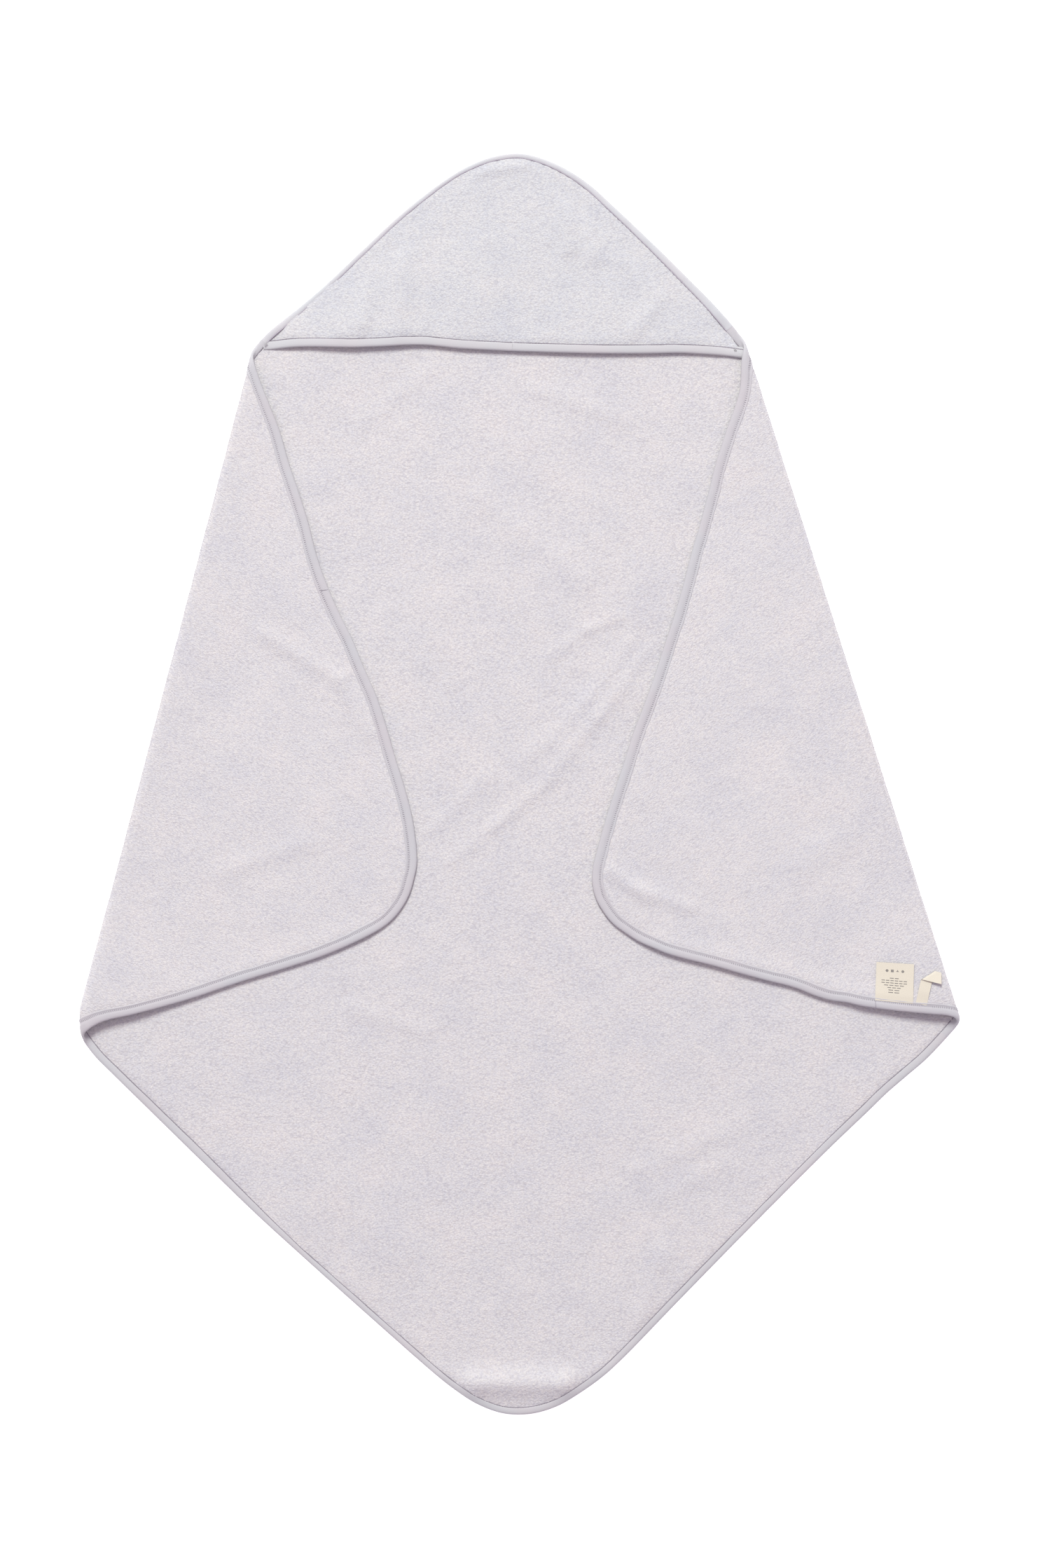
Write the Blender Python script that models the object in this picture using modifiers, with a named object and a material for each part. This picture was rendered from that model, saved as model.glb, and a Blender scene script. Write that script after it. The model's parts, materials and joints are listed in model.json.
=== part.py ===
"""Hooded baby towel laid flat as a diamond, with its two side corners folded in over the middle.

Metres, +Z up. The origin is on the floor under the middle of the towel, +Y points to the hood.
The cloth is split along its folds into rigid pieces, so that each fold can be a hinge.
"""

import math

import bpy
from mathutils import Matrix, Vector

# ---------------------------------------------------------------- driving dimensions

# Sharp corners of the laid outline, before rounding: (x, y, corner radius).
APEX = (-0.0027, 0.6026, 0.100)
LEFT_HOOD_CORNER = (-0.2405, 0.3860, 0.012)
LEFT_TIP = (-0.4000, -0.2247, 0.040)
BOTTOM_CORNER = (0.0002, -0.6024, 0.100)
RIGHT_SHOULDER = (0.3300, -0.2735, 0.200)
RIGHT_TIP = (0.3950, -0.2170, 0.030)
RIGHT_HOOD_CORNER = (0.1980, 0.4030, 0.012)

# Free edges of the two folded flaps, counter-clockwise round each flap.
LEFT_FLAP_EDGE = (
    (-0.3970, -0.2201, 0.0),
    (-0.0613, -0.1131, 0.082),
    (-0.1775, 0.1937, 0.600),
    (-0.2436, 0.3760, 0.0),
)
RIGHT_FLAP_EDGE = (
    (0.2040, 0.3850, 0.0),
    (0.1420, 0.1650, 0.300),
    (0.0286, -0.1200, 0.075),
    (0.2920, -0.1965, 0.250),
    (0.3925, -0.2110, 0.0),
)

GAP = 0.0003  # between pieces that touch
SLIVER = 0.00015  # half the gap where one cloth is split in two
TERRY = 0.0032  # thickness of the towelling
RIM = 0.0016  # towelling pressed flat inside its binding
BINDING_WIDTH = 0.008
BINDING_WALL = 0.0005
BINDING_NOSE = 0.0010  # chamfer of the binding's outer edge
RIM_BOTTOM = BINDING_WALL + GAP
SLOT_TOP = RIM_BOTTOM + RIM + GAP
THREAD_RADIUS = 0.00025
SEAM_INSET = 0.0070  # from the outer edge to the stitch line
ARC_STEP = math.radians(10.0)

FLAP_Z = TERRY + GAP  # underside of a folded flap
FOLD_AXIS_Z = 0.0048
ROLL_RADIUS = 0.0033  # the cloth turning over at a fold
FLAP_CLEARANCE = 0.0072  # from the fold line to a flap's panel
FLAP_TOP = FLAP_Z + TERRY

CORNER_FOLD_Y = -0.2450  # the bottom corner folds up along this line
CORNER_FOLD_Z = 0.0090

HOOD_TERRY = 0.0024
HOOD_SEAM_Z = 0.0044  # underside of the hood along its sewn sides
HOOD_RISE = 0.0090  # how far the middle of the hood's front edge stands above that
HOOD_REAR_Y = 0.5535
HOOD_EDGE_TOP = 0.0070  # top of the binding that joins hood and towel
HOOD_INSET = BINDING_WIDTH + 2 * GAP
HOOD_FRONT_Y = 0.3860  # front edge, at x = 0
HOOD_FRONT_SLOPE = -0.018
HOOD_FRONT_LEFT = -0.2120
HOOD_FRONT_RIGHT = 0.1895
HOOD_BAND = 0.0100  # the hood is level across its front binding
HOOD_COLUMNS = 14
HOOD_ROWS = 7
HOOD_BINDING_WALL = BINDING_WALL + GAP

LABEL_WIDTH = 0.0347
LABEL_HEIGHT = 0.0350
LABEL_TILT = 0.0025  # its right side is this much shorter
LABEL_CENTRE_X = 0.3346
LABEL_SEWN_Y = -0.1934
LABEL_Z = 0.0080  # mid-plane of the label, lying on the right flap
LABEL_THICKNESS = 0.0004
RIBBON_Z = 0.0084
RIBBON_THICKNESS = 0.0012  # two layers of ribbon
RIBBON_SEWN_X = (0.3540, 0.3655)
RIBBON_OUTLINE = (
    (0.0, 0.0),
    (0.0115, 0.0),
    (0.0130, 0.0085),
    (0.0222, 0.0130),
    (0.0230, 0.0262),
    (0.0122, 0.0245),
    (0.0025, 0.0170),
)

TACK_LENGTH = 0.0020  # bar tack at each end of the hood seam, along the seam
TACK_HEIGHT = 0.0006
TACK_DISTANCE = 0.0120  # from the end of the seam
TACK_CLEARANCE = 0.0080  # from a tack to the end of the stitch line

TIP_TRIM = 0.012  # the base binding stops this far from a side tip, where the cloth turns over
# How far each fold's roll stops short of the hood corner and of the side tip.
LEFT_ROLL_TRIMS = (0.014, 0.020)
RIGHT_ROLL_TRIMS = (0.018, 0.013)
# How far each flap's binding stops short of the two ends of its edge, in the edge's own order.
LEFT_FLAP_TRIMS = (0.019, 0.032)
RIGHT_FLAP_TRIMS = (0.030, 0.018)

WELD_DISTANCE = 0.00001
HINGE_MARK = 0.03

TERRY_COLOUR = (0.745, 0.708, 0.740)
BINDING_COLOUR = (0.660, 0.631, 0.672)
THREAD_COLOUR = (0.560, 0.530, 0.572)
LABEL_COLOUR = (0.890, 0.830, 0.680)


# ---------------------------------------------------------------- outlines


def left_of(direction):
    return Vector((-direction.y, direction.x))


def inset(corners, distances, closed=True):
    """Corners of a counter-clockwise outline moved inwards, each side by its own distance."""
    points = [Vector(corner[:2]) for corner in corners]
    sides = len(points) if closed else len(points) - 1
    lines = []
    for i in range(sides):
        along = (points[(i + 1) % len(points)] - points[i]).normalized()
        lines.append((points[i] + left_of(along) * distances[i], along))
    moved = []
    for i, corner in enumerate(corners):
        if not closed and i in (0, len(corners) - 1):
            start, along = lines[min(i, sides - 1)]
            place = start + along * (points[i] - start).dot(along)
            moved.append((place.x, place.y, 0.0))
            continue
        (p, u), (q, v) = lines[i - 1], lines[i]
        place = p + u * ((q - p).cross(v) / u.cross(v))
        turn = math.copysign(1.0, u.cross(v))
        radius = corner[2] - turn * max(distances[i - 1], distances[i])
        moved.append((place.x, place.y, max(radius, 0.001) if corner[2] else 0.0))
    return moved


def rounded(corners, closed=True):
    """Points along straight sides and round corners, the arcs split at a fixed angle."""
    points = [Vector(corner[:2]) for corner in corners]
    outline = []
    for i, corner in enumerate(corners):
        if corner[2] == 0.0 or (not closed and i in (0, len(corners) - 1)):
            outline.append(points[i])
            continue
        before = (points[i] - points[i - 1]).normalized()
        after = (points[(i + 1) % len(points)] - points[i]).normalized()
        turn = math.atan2(before.cross(after), before.dot(after))
        reach = corner[2] * math.tan(abs(turn) / 2)
        start = points[i] - before * reach
        centre = start + left_of(before) * math.copysign(corner[2], turn)
        steps = max(2, math.ceil(abs(turn) / ARC_STEP))
        for k in range(steps + 1):
            outline.append(centre + Matrix.Rotation(turn * k / steps, 2) @ (start - centre))
    return outline


def trimmed(points, start, end):
    """A polyline with a length cut off each end."""

    def cut(run, length):
        run = list(run)
        while length > (run[1] - run[0]).length:
            length -= (run[1] - run[0]).length
            run.pop(0)
        run[0] = run[0] + (run[1] - run[0]).normalized() * length
        return run

    return cut(cut(points, start)[::-1], end)[::-1]


def edge_line(corners, inward, start, end):
    """The line along a free edge, set inwards and trimmed at both ends."""
    line = inset(corners, [inward] * (len(corners) - 1), closed=False)
    return trimmed(rounded(line, closed=False), start, end)


# ---------------------------------------------------------------- objects


def clear_scene():
    for obj in list(bpy.data.objects):
        bpy.data.objects.remove(obj)


def new_collection(name):
    collection = bpy.data.collections.new(name)
    bpy.context.scene.collection.children.link(collection)
    return collection


def new_material(name, colour, roughness):
    material = bpy.data.materials.new(name)
    material.use_nodes = True
    shader = material.node_tree.nodes["Principled BSDF"]
    shader.inputs["Base Color"].default_value = (*colour, 1.0)
    shader.inputs["Roughness"].default_value = roughness
    shader.inputs["Metallic"].default_value = 0.0
    return material


def new_curve(name, points, flat, cyclic):
    data = bpy.data.curves.new(name, "CURVE")
    data.dimensions = "2D" if flat else "3D"
    spline = data.splines.new("POLY")
    spline.points.add(len(points) - 1)
    for target, point in zip(spline.points, points):
        target.co = (*Vector(point).to_3d(), 1.0)
    spline.use_cyclic_u = cyclic
    return bpy.data.objects.new(name, data)


def finish(obj, material, body=None):
    """Give a piece its material, put it in the towel and hang it on its body's hinge."""
    obj.data.materials.append(material)
    towel.objects.link(obj)
    if body:
        obj.parent = body
        obj.location -= body.location
    return obj


def as_mesh(obj, collection):
    """The curve as a mesh with its caps welded on."""
    towel.objects.link(obj)
    bpy.context.view_layer.update()
    graph = bpy.context.evaluated_depsgraph_get()
    mesh = bpy.data.meshes.new_from_object(obj.evaluated_get(graph))
    name, place = obj.name, obj.location.copy()
    bpy.data.objects.remove(obj)
    solid = bpy.data.objects.new(name, mesh)
    solid.location = place
    weld = solid.modifiers.new("Weld", "WELD")
    weld.merge_threshold = WELD_DISTANCE
    collection.objects.link(solid)
    return solid


def plate(name, corners, bottom, top):
    """A flat piece of cloth with this outline."""
    obj = new_curve(name, rounded(corners), flat=True, cyclic=True)
    obj.data.fill_mode = "BOTH"
    obj.data.extrude = (top - bottom) / 2
    obj.location.z = (top + bottom) / 2
    return obj


def panel(name, corners, bound, others, base, body=None):
    """Towelling, pressed thin where its bound sides go into the binding.

    bound says which sides have a binding. others gives the inset of each other side.
    """
    thick = [BINDING_WIDTH + GAP if b else o for b, o in zip(bound, others)]
    thin = [BINDING_WALL + 2 * GAP if b else o + 2 * GAP for b, o in zip(bound, others)]
    cloth = as_mesh(plate(name, inset(corners, thick), base, base + TERRY), cutters)
    rim_bottom = base + RIM_BOTTOM
    rim = plate(name + "_rim", inset(corners, thin), rim_bottom, rim_bottom + RIM)
    rim = as_mesh(rim, cutters)
    rim.hide_render = True
    rim.display_type = "WIRE"
    join = cloth.modifiers.new("Rim", "BOOLEAN")
    join.operation = "UNION"
    join.object = rim
    cutters.objects.unlink(cloth)
    return finish(cloth, terry, body)


def binding_profile(name, slot_top, top):
    """Section of a binding folded round a rim that lies between the slot's two faces."""
    inner = BINDING_WALL + GAP
    section = (
        (BINDING_WIDTH, 0.0),
        (BINDING_NOSE, 0.0),
        (0.0, BINDING_NOSE),
        (0.0, top - BINDING_NOSE),
        (BINDING_NOSE, top),
        (BINDING_WIDTH, top),
        (BINDING_WIDTH, slot_top),
        (inner, slot_top),
        (inner, BINDING_WALL),
        (BINDING_WIDTH, BINDING_WALL),
    )
    points = [(-inward, up) for inward, up in reversed(section)]
    profile = new_curve(name, points, flat=True, cyclic=True)
    profile.hide_render = True
    profile.display_type = "WIRE"
    cutters.objects.link(profile)
    return profile


def binding(name, points, profile, base, body=None):
    """A strip of jersey folded round an edge. points run counter-clockwise along that edge."""
    obj = new_curve(name, points, flat=False, cyclic=False)
    obj.data.twist_mode = "Z_UP"
    obj.data.bevel_mode = "OBJECT"
    obj.data.bevel_object = profile
    obj.data.use_fill_caps = True
    obj.location.z = base
    return finish(obj, jersey, body)


def tube(name, points, radius, height, sides_resolution, material, body=None):
    obj = new_curve(name, points, flat=False, cyclic=False)
    obj.data.bevel_depth = radius
    obj.data.bevel_resolution = sides_resolution
    obj.data.use_fill_caps = True
    obj.location.z = height
    return finish(obj, material, body)


def stitching(name, points, surface, body=None):
    """The stitch line as one thread lying on this surface."""
    height = surface + GAP + THREAD_RADIUS
    return tube(name, points, THREAD_RADIUS, height, 0, thread, body)


def hinge(name, place):
    """An empty on a hinge's axis, which carries what turns about it."""
    empty = bpy.data.objects.new(name, None)
    empty.location = place
    empty.empty_display_size = HINGE_MARK
    towel.objects.link(empty)
    return empty


# ---------------------------------------------------------------- sub-assemblies


def towel_outline():
    """Where the bottom corner's fold cuts the two lower edges."""

    def on_fold(a, b):
        share = (CORNER_FOLD_Y - a[1]) / (b[1] - a[1])
        return (a[0] + (b[0] - a[0]) * share, CORNER_FOLD_Y, 0.0)

    return on_fold(LEFT_TIP, BOTTOM_CORNER), on_fold(RIGHT_TIP, RIGHT_SHOULDER)


def make_centre(left_split, right_split):
    corners = [
        APEX,
        LEFT_HOOD_CORNER,
        LEFT_TIP,
        left_split,
        right_split,
        RIGHT_TIP,
        RIGHT_HOOD_CORNER,
    ]
    bound = [True, False, True, False, True, False, True]
    fold = 2 * ROLL_RADIUS + GAP
    others = [0, fold, 0, SLIVER, 0, fold, 0]
    panel("centre_panel", corners, bound, others, 0.0)
    binding("left_tip_binding", edge_line([LEFT_TIP, left_split], 0, TIP_TRIM, 0), slim, 0.0)
    binding("right_tip_binding", edge_line([right_split, RIGHT_TIP], 0, 0, TIP_TRIM), slim, 0.0)
    for side, top, tip, ends in (
        ("left", LEFT_HOOD_CORNER, LEFT_TIP, LEFT_ROLL_TRIMS),
        ("right", RIGHT_HOOD_CORNER, RIGHT_TIP, RIGHT_ROLL_TRIMS),
    ):
        line = [top, tip] if side == "left" else [tip, top]
        trims = ends if side == "left" else ends[::-1]
        roll = edge_line(line, ROLL_RADIUS, *trims)
        tube(side + "_fold_roll", roll, ROLL_RADIUS, ROLL_RADIUS, 2, terry)


def make_hood_seam():
    edge = [RIGHT_HOOD_CORNER, APEX, LEFT_HOOD_CORNER]
    binding("hood_edge_binding", edge_line(edge, 0, 0, 0), deep, 0.0)
    clear = TACK_DISTANCE + TACK_CLEARANCE
    stitching("hood_edge_stitching", edge_line(edge, SEAM_INSET, clear, clear), HOOD_EDGE_TOP)
    middle = edge_line(edge, BINDING_WIDTH / 2, TACK_DISTANCE, TACK_DISTANCE)
    for name, place, towards in (
        ("right_bar_tack", middle[0], middle[1]),
        ("left_bar_tack", middle[-1], middle[-2]),
    ):
        along = towards - place
        bpy.ops.mesh.primitive_cube_add(size=1.0)
        tack = bpy.context.object
        tack.name = name
        tack.data.transform(Matrix.Diagonal((TACK_LENGTH, BINDING_WIDTH - 2 * GAP, TACK_HEIGHT, 1.0)))
        tack.location = (place.x, place.y, HOOD_EDGE_TOP + GAP + TACK_HEIGHT / 2)
        tack.rotation_euler.z = math.atan2(along.y, along.x)
        for collection in list(tack.users_collection):
            collection.objects.unlink(tack)
        finish(tack, thread)


def hood_limits(y):
    """The hood panel's left and right ends at this y, just inside the edge binding."""
    edge = [RIGHT_TIP, RIGHT_HOOD_CORNER, APEX, LEFT_HOOD_CORNER, LEFT_TIP]
    fold = 2 * ROLL_RADIUS + GAP
    outline = rounded(inset(edge, [fold, HOOD_INSET, HOOD_INSET, fold], closed=False), closed=False)
    crossings = []
    for a, b in zip(outline, outline[1:]):
        if (a.y - y) * (b.y - y) < 0:
            crossings.append(a.x + (b.x - a.x) * (y - a.y) / (b.y - a.y))
    return max(min(crossings), HOOD_FRONT_LEFT), min(max(crossings), HOOD_FRONT_RIGHT)


def hood_front_y(x):
    return HOOD_FRONT_Y + HOOD_FRONT_SLOPE * x


def hood_underside(across, y):
    """Height under the hood. across runs from -1 to 1 between its two sewn sides."""
    reach = HOOD_REAR_Y - HOOD_FRONT_Y - HOOD_BAND
    forward = min(1.0, (HOOD_REAR_Y - y) / reach)
    return HOOD_SEAM_Z + HOOD_RISE * (1 - across**2) * forward**1.5


def make_hood(body):
    rows = []
    rim = BINDING_WALL + 2 * GAP
    for row in range(HOOD_ROWS + 1):
        back = (row - 1) / (HOOD_ROWS - 1)
        points = []
        for column in range(HOOD_COLUMNS + 1):
            across = 2 * column / HOOD_COLUMNS - 1
            front = hood_front_y(HOOD_FRONT_LEFT + (HOOD_FRONT_RIGHT - HOOD_FRONT_LEFT) * (across + 1) / 2)
            y = front + rim if row == 0 else front + HOOD_BAND
            y = y if row == 0 else y + (HOOD_REAR_Y - y) * back
            left, right = hood_limits(y)
            x = left + (right - left) * (across + 1) / 2
            height_y = HOOD_FRONT_Y + HOOD_BAND if row < 2 else y
            points.append((x, y, hood_underside(across, height_y)))
        rows.append(points)
    count = HOOD_COLUMNS + 1
    faces = []
    for row in range(HOOD_ROWS):
        for column in range(HOOD_COLUMNS):
            first = row * count + column
            faces.append((first, first + 1, first + count + 1, first + count))
    mesh = bpy.data.meshes.new("hood_panel")
    mesh.from_pydata([point for points in rows for point in points], [], faces)
    mesh.shade_smooth()
    hood = bpy.data.objects.new("hood_panel", mesh)
    shell = hood.modifiers.new("Thickness", "SOLIDIFY")
    shell.thickness = HOOD_TERRY
    shell.offset = 1.0
    finish(hood, terry, body)
    front = [Vector((x, hood_front_y(x), z)) for x, _, z in rows[0]]
    binding("hood_front_binding", front, hood_slim, -HOOD_BINDING_WALL, body)
    seam = [point + Vector((0.0, SEAM_INSET, 0.0)) for point in front[1:-1]]
    stitching("hood_front_stitching", seam, HOOD_TERRY + GAP + BINDING_WALL, body)


def make_flap(side, edge, trims, body):
    """A folded-in corner: its towelling, its binding and the binding's stitch line."""
    corners = list(edge)
    bound = [True] * (len(corners) - 1) + [False]
    others = [0] * (len(corners) - 1) + [FLAP_CLEARANCE]
    panel(side + "_flap_panel", corners, bound, others, FLAP_Z, body)
    binding(side + "_flap_binding", edge_line(edge, 0, *trims), slim, FLAP_Z, body)
    seam = edge_line(edge, SEAM_INSET, *trims)
    stitching(side + "_flap_stitching", seam, FLAP_TOP, body)


def make_bottom_corner(left_split, right_split, body):
    corners = [left_split, BOTTOM_CORNER, RIGHT_SHOULDER, right_split]
    panel("bottom_corner_panel", corners, [True, True, True, False], [0, 0, 0, SLIVER], 0.0, body)
    clear = BINDING_WIDTH + GAP
    binding("bottom_binding", edge_line(corners, 0, clear, clear), slim, 0.0, body)
    stitching("bottom_stitching", edge_line(corners, SEAM_INSET, clear, clear), TERRY, body)


def make_labels(label_body, ribbon_body):
    half = LABEL_WIDTH / 2
    top = LABEL_SEWN_Y + LABEL_HEIGHT
    left, right = LABEL_CENTRE_X - half, LABEL_CENTRE_X + half
    outline = [
        (left, LABEL_SEWN_Y, 0),
        (right, LABEL_SEWN_Y, 0),
        (right, top - LABEL_TILT, 0),
        (left, top, 0),
    ]
    low, high = LABEL_Z - LABEL_THICKNESS / 2, LABEL_Z + LABEL_THICKNESS / 2
    finish(plate("care_label", outline, low, high), satin, label_body)
    outline = [(RIBBON_SEWN_X[0] + x, LABEL_SEWN_Y + y, 0) for x, y in RIBBON_OUTLINE]
    low, high = RIBBON_Z - RIBBON_THICKNESS / 2, RIBBON_Z + RIBBON_THICKNESS / 2
    finish(plate("ribbon_tab", outline, low, high), satin, ribbon_body)


clear_scene()
towel = new_collection("hooded_baby_towel")
cutters = new_collection("cutters")
terry = new_material("terry", TERRY_COLOUR, 0.95)
jersey = new_material("jersey_binding", BINDING_COLOUR, 0.85)
thread = new_material("thread", THREAD_COLOUR, 0.70)
satin = new_material("label_satin", LABEL_COLOUR, 0.55)
slim = binding_profile("slim_profile", SLOT_TOP, TERRY)
deep = binding_profile("deep_profile", SLOT_TOP, HOOD_EDGE_TOP)
hood_slot = BINDING_WALL + 2 * GAP + HOOD_TERRY
hood_slim = binding_profile("hood_profile", hood_slot, hood_slot + BINDING_WALL)

left_split, right_split = towel_outline()
make_centre(left_split, right_split)
make_hood_seam()

left_fold = hinge("left_fold_hinge", (LEFT_HOOD_CORNER[0], LEFT_HOOD_CORNER[1], FOLD_AXIS_Z))
right_fold = hinge("right_fold_hinge", (RIGHT_TIP[0], RIGHT_TIP[1], FOLD_AXIS_Z))
make_flap("left", LEFT_FLAP_EDGE, LEFT_FLAP_TRIMS, left_fold)
make_flap("right", RIGHT_FLAP_EDGE, RIGHT_FLAP_TRIMS, right_fold)

hood_top = HOOD_SEAM_Z + HOOD_TERRY
make_hood(hinge("hood_hinge", (0.0, HOOD_REAR_Y, hood_top)))
make_bottom_corner(left_split, right_split, hinge("corner_hinge", (0.0, CORNER_FOLD_Y, CORNER_FOLD_Z)))

label_hinge = hinge("label_hinge", (LABEL_CENTRE_X, LABEL_SEWN_Y, LABEL_Z))
ribbon_hinge = hinge("ribbon_hinge", (RIBBON_SEWN_X[0], LABEL_SEWN_Y, RIBBON_Z))
make_labels(label_hinge, ribbon_hinge)
for tab in (label_hinge, ribbon_hinge):
    tab.parent = right_fold
    tab.location -= right_fold.location
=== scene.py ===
"""How the hooded baby towel looks: towelling, jersey bindings, stitching and two sewn-in labels.

The whole towel is drawn once as it was cut, in one flat pattern, and each piece of cloth then says
how the pattern lies: flat on the floor, folded over at a side, or raised as the hood. Bindings and
stitches are drawn on the same pattern, so they follow the cloth wherever it goes.
Lengths are in metres, or in millimetres where a value is multiplied by MM.
"""

import json
import math

import bpy
import numpy as np
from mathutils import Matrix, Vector


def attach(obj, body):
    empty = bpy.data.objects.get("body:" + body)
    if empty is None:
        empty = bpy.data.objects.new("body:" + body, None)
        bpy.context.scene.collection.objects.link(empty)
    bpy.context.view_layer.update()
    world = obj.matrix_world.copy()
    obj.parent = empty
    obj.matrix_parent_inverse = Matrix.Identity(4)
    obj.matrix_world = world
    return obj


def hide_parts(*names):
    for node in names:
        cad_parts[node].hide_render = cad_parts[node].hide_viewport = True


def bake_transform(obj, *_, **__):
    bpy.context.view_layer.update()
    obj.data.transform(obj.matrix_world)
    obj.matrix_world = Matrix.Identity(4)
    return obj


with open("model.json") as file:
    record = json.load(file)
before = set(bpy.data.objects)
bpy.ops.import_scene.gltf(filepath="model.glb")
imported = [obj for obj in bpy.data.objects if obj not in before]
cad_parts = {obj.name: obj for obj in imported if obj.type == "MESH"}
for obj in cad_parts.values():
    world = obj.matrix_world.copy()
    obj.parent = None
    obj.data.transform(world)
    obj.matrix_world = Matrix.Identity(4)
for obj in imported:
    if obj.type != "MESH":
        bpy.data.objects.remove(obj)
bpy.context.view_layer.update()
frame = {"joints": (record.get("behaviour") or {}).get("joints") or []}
JOINTS = {joint["name"]: joint for joint in frame["joints"]}

MM = 0.001
SPACING = 3.5 * MM  # between the woven grid's points
EDGE_STEP = 2.0 * MM
HALF = 1.6 * MM  # half of the towelling's thickness
PRESSED = 0.75 * MM  # half of it where a binding presses it
TUCK = 3.0 * MM  # how far inside a binding's outer edge the cloth ends
PRESSED_TO = 7.7 * MM  # how far in the cloth is pressed
FULL_FROM = 10.3 * MM  # where it has its full thickness again
TAPE_CHANGE = 20 * MM  # the length over which a binding changes its section
FLAP_GAP = 0.35 * MM  # between a folded flap and what it lies on
ROLL = 3.4 * MM  # the towelling's middle turning over at a fold
TIP_ROLL = 5.6 * MM  # the same where the fold ends in a tip
STRIP = 11 * MM  # how far a folded piece reaches under its own fold
TIP_STRIP = 16.5 * MM
TAPE_TURN = 6 * MM  # how far inside a fold the hood's binding goes over into the flap's
# Fold.blend makes the start and the end of a flap's turn with its joint from the first and the second of
# these levels over the floor. They lean down inwards by the tilt.
BLEND_LEVELS = (3.95 * MM, 6.1 * MM)
BLEND_TILT = 0.045
SKEW = np.array([[0.8, -0.6], [0.6, 0.8]])  # turns one noise away from the grid of another
THREAD_SIDES = 6
MOST_PAIRS = 4000000  # of points and segments compared at once


# -------- numbers


def smooth(t):
    t = np.clip(t, 0.0, 1.0)
    return t * t * (3 - 2 * t)


def mm(points):
    return np.array(points, float) * MM


def random_table(seed):
    return np.random.default_rng(seed).uniform(-1.0, 1.0, (64, 64))


def noise(points, size, seed):
    """Smooth noise from -1 to 1 in the plane, with lumps of this size."""
    table = random_table(seed)
    place = np.asarray(points)[:, :2] / size
    cell = np.floor(place).astype(int)
    x, y = smooth(place - cell).T
    i, j = cell.T % 64
    k, m = (i + 1) % 64, (j + 1) % 64
    low = table[i, j] * (1 - x) + table[k, j] * x
    high = table[i, m] * (1 - x) + table[k, m] * x
    return low * (1 - y) + high * y


def spline(points, step, closed=False):
    """Evenly spaced points on a smooth curve through the given ones."""
    p = np.array(points, float)
    if closed:
        p = np.vstack([p[-1], p, p[0], p[1]])
    else:
        p = np.vstack([2 * p[0] - p[1], p, 2 * p[-1] - p[-2]])
    fine = []
    for a, b, c, d in zip(p, p[1:], p[2:], p[3:]):
        gaps = [np.linalg.norm(v) ** 0.5 for v in (b - a, c - b, d - c)]
        t0, t1, t2, t3 = np.cumsum([0.0, *gaps])
        t = np.linspace(t1, t2, 16, endpoint=False)[:, None]
        ab = (a * (t1 - t) + b * (t - t0)) / (t1 - t0)
        bc = (b * (t2 - t) + c * (t - t1)) / (t2 - t1)
        cd = (c * (t3 - t) + d * (t - t2)) / (t3 - t2)
        abc = (ab * (t2 - t) + bc * (t - t0)) / (t2 - t0)
        bcd = (bc * (t3 - t) + cd * (t - t1)) / (t3 - t1)
        fine.append((abc * (t2 - t) + bcd * (t - t1)) / (t2 - t1))
    fine = np.vstack([*fine, p[-2:-1]])
    return even(fine, step)


def even(line, step):
    """The same line with evenly spaced points."""
    along = arc(line)
    count = max(2, int(round(along[-1] / step)) + 1)
    where = np.linspace(0, along[-1], count)
    return np.column_stack([np.interp(where, along, line[:, k]) for k in range(line.shape[1])])


def arc(line):
    """Length along a line at each of its points."""
    return np.concatenate([[0.0], np.cumsum(np.linalg.norm(np.diff(line, axis=0), axis=1))])


def left_normals(line):
    """Unit normals on the left of a flat line. A pattern's edges run with the cloth on their left."""
    slope = np.gradient(line, axis=0)
    slope /= np.linalg.norm(slope, axis=1)[:, None]
    return np.column_stack([-slope[:, 1], slope[:, 0]])


def nearest(points, starts, ends):
    """Distance from each point to the nearest segment, the place there and its left normal."""
    run = ends - starts
    run2 = np.maximum((run**2).sum(1), 1e-18)
    result = []
    for some in np.array_split(points, max(1, len(points) * len(starts) // MOST_PAIRS)):
        away = some[:, None] - starts
        share = np.clip((away * run).sum(2) / run2, 0, 1)
        place = starts + share[..., None] * run
        gap = ((some[:, None] - place) ** 2).sum(2)
        best = gap.argmin(1)
        rows = np.arange(len(some))
        normal = np.column_stack([-run[best, 1], run[best, 0]]) / np.sqrt(run2[best])[:, None]
        result.append((np.sqrt(gap[rows, best]), place[rows, best], normal))
    return [np.concatenate(part) for part in zip(*result)]


def inside(points, outline):
    """Which points lie within a closed outline."""
    x, y = points.T
    within = np.zeros(len(points), bool)
    for (ax, ay), (bx, by) in zip(outline, np.roll(outline, -1, axis=0)):
        if ay != by:
            crossing = (ay > y) != (by > y)
            within ^= crossing & (x < (bx - ax) * (y - ay) / (by - ay) + ax)
    return within


# -------- meshes


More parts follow.
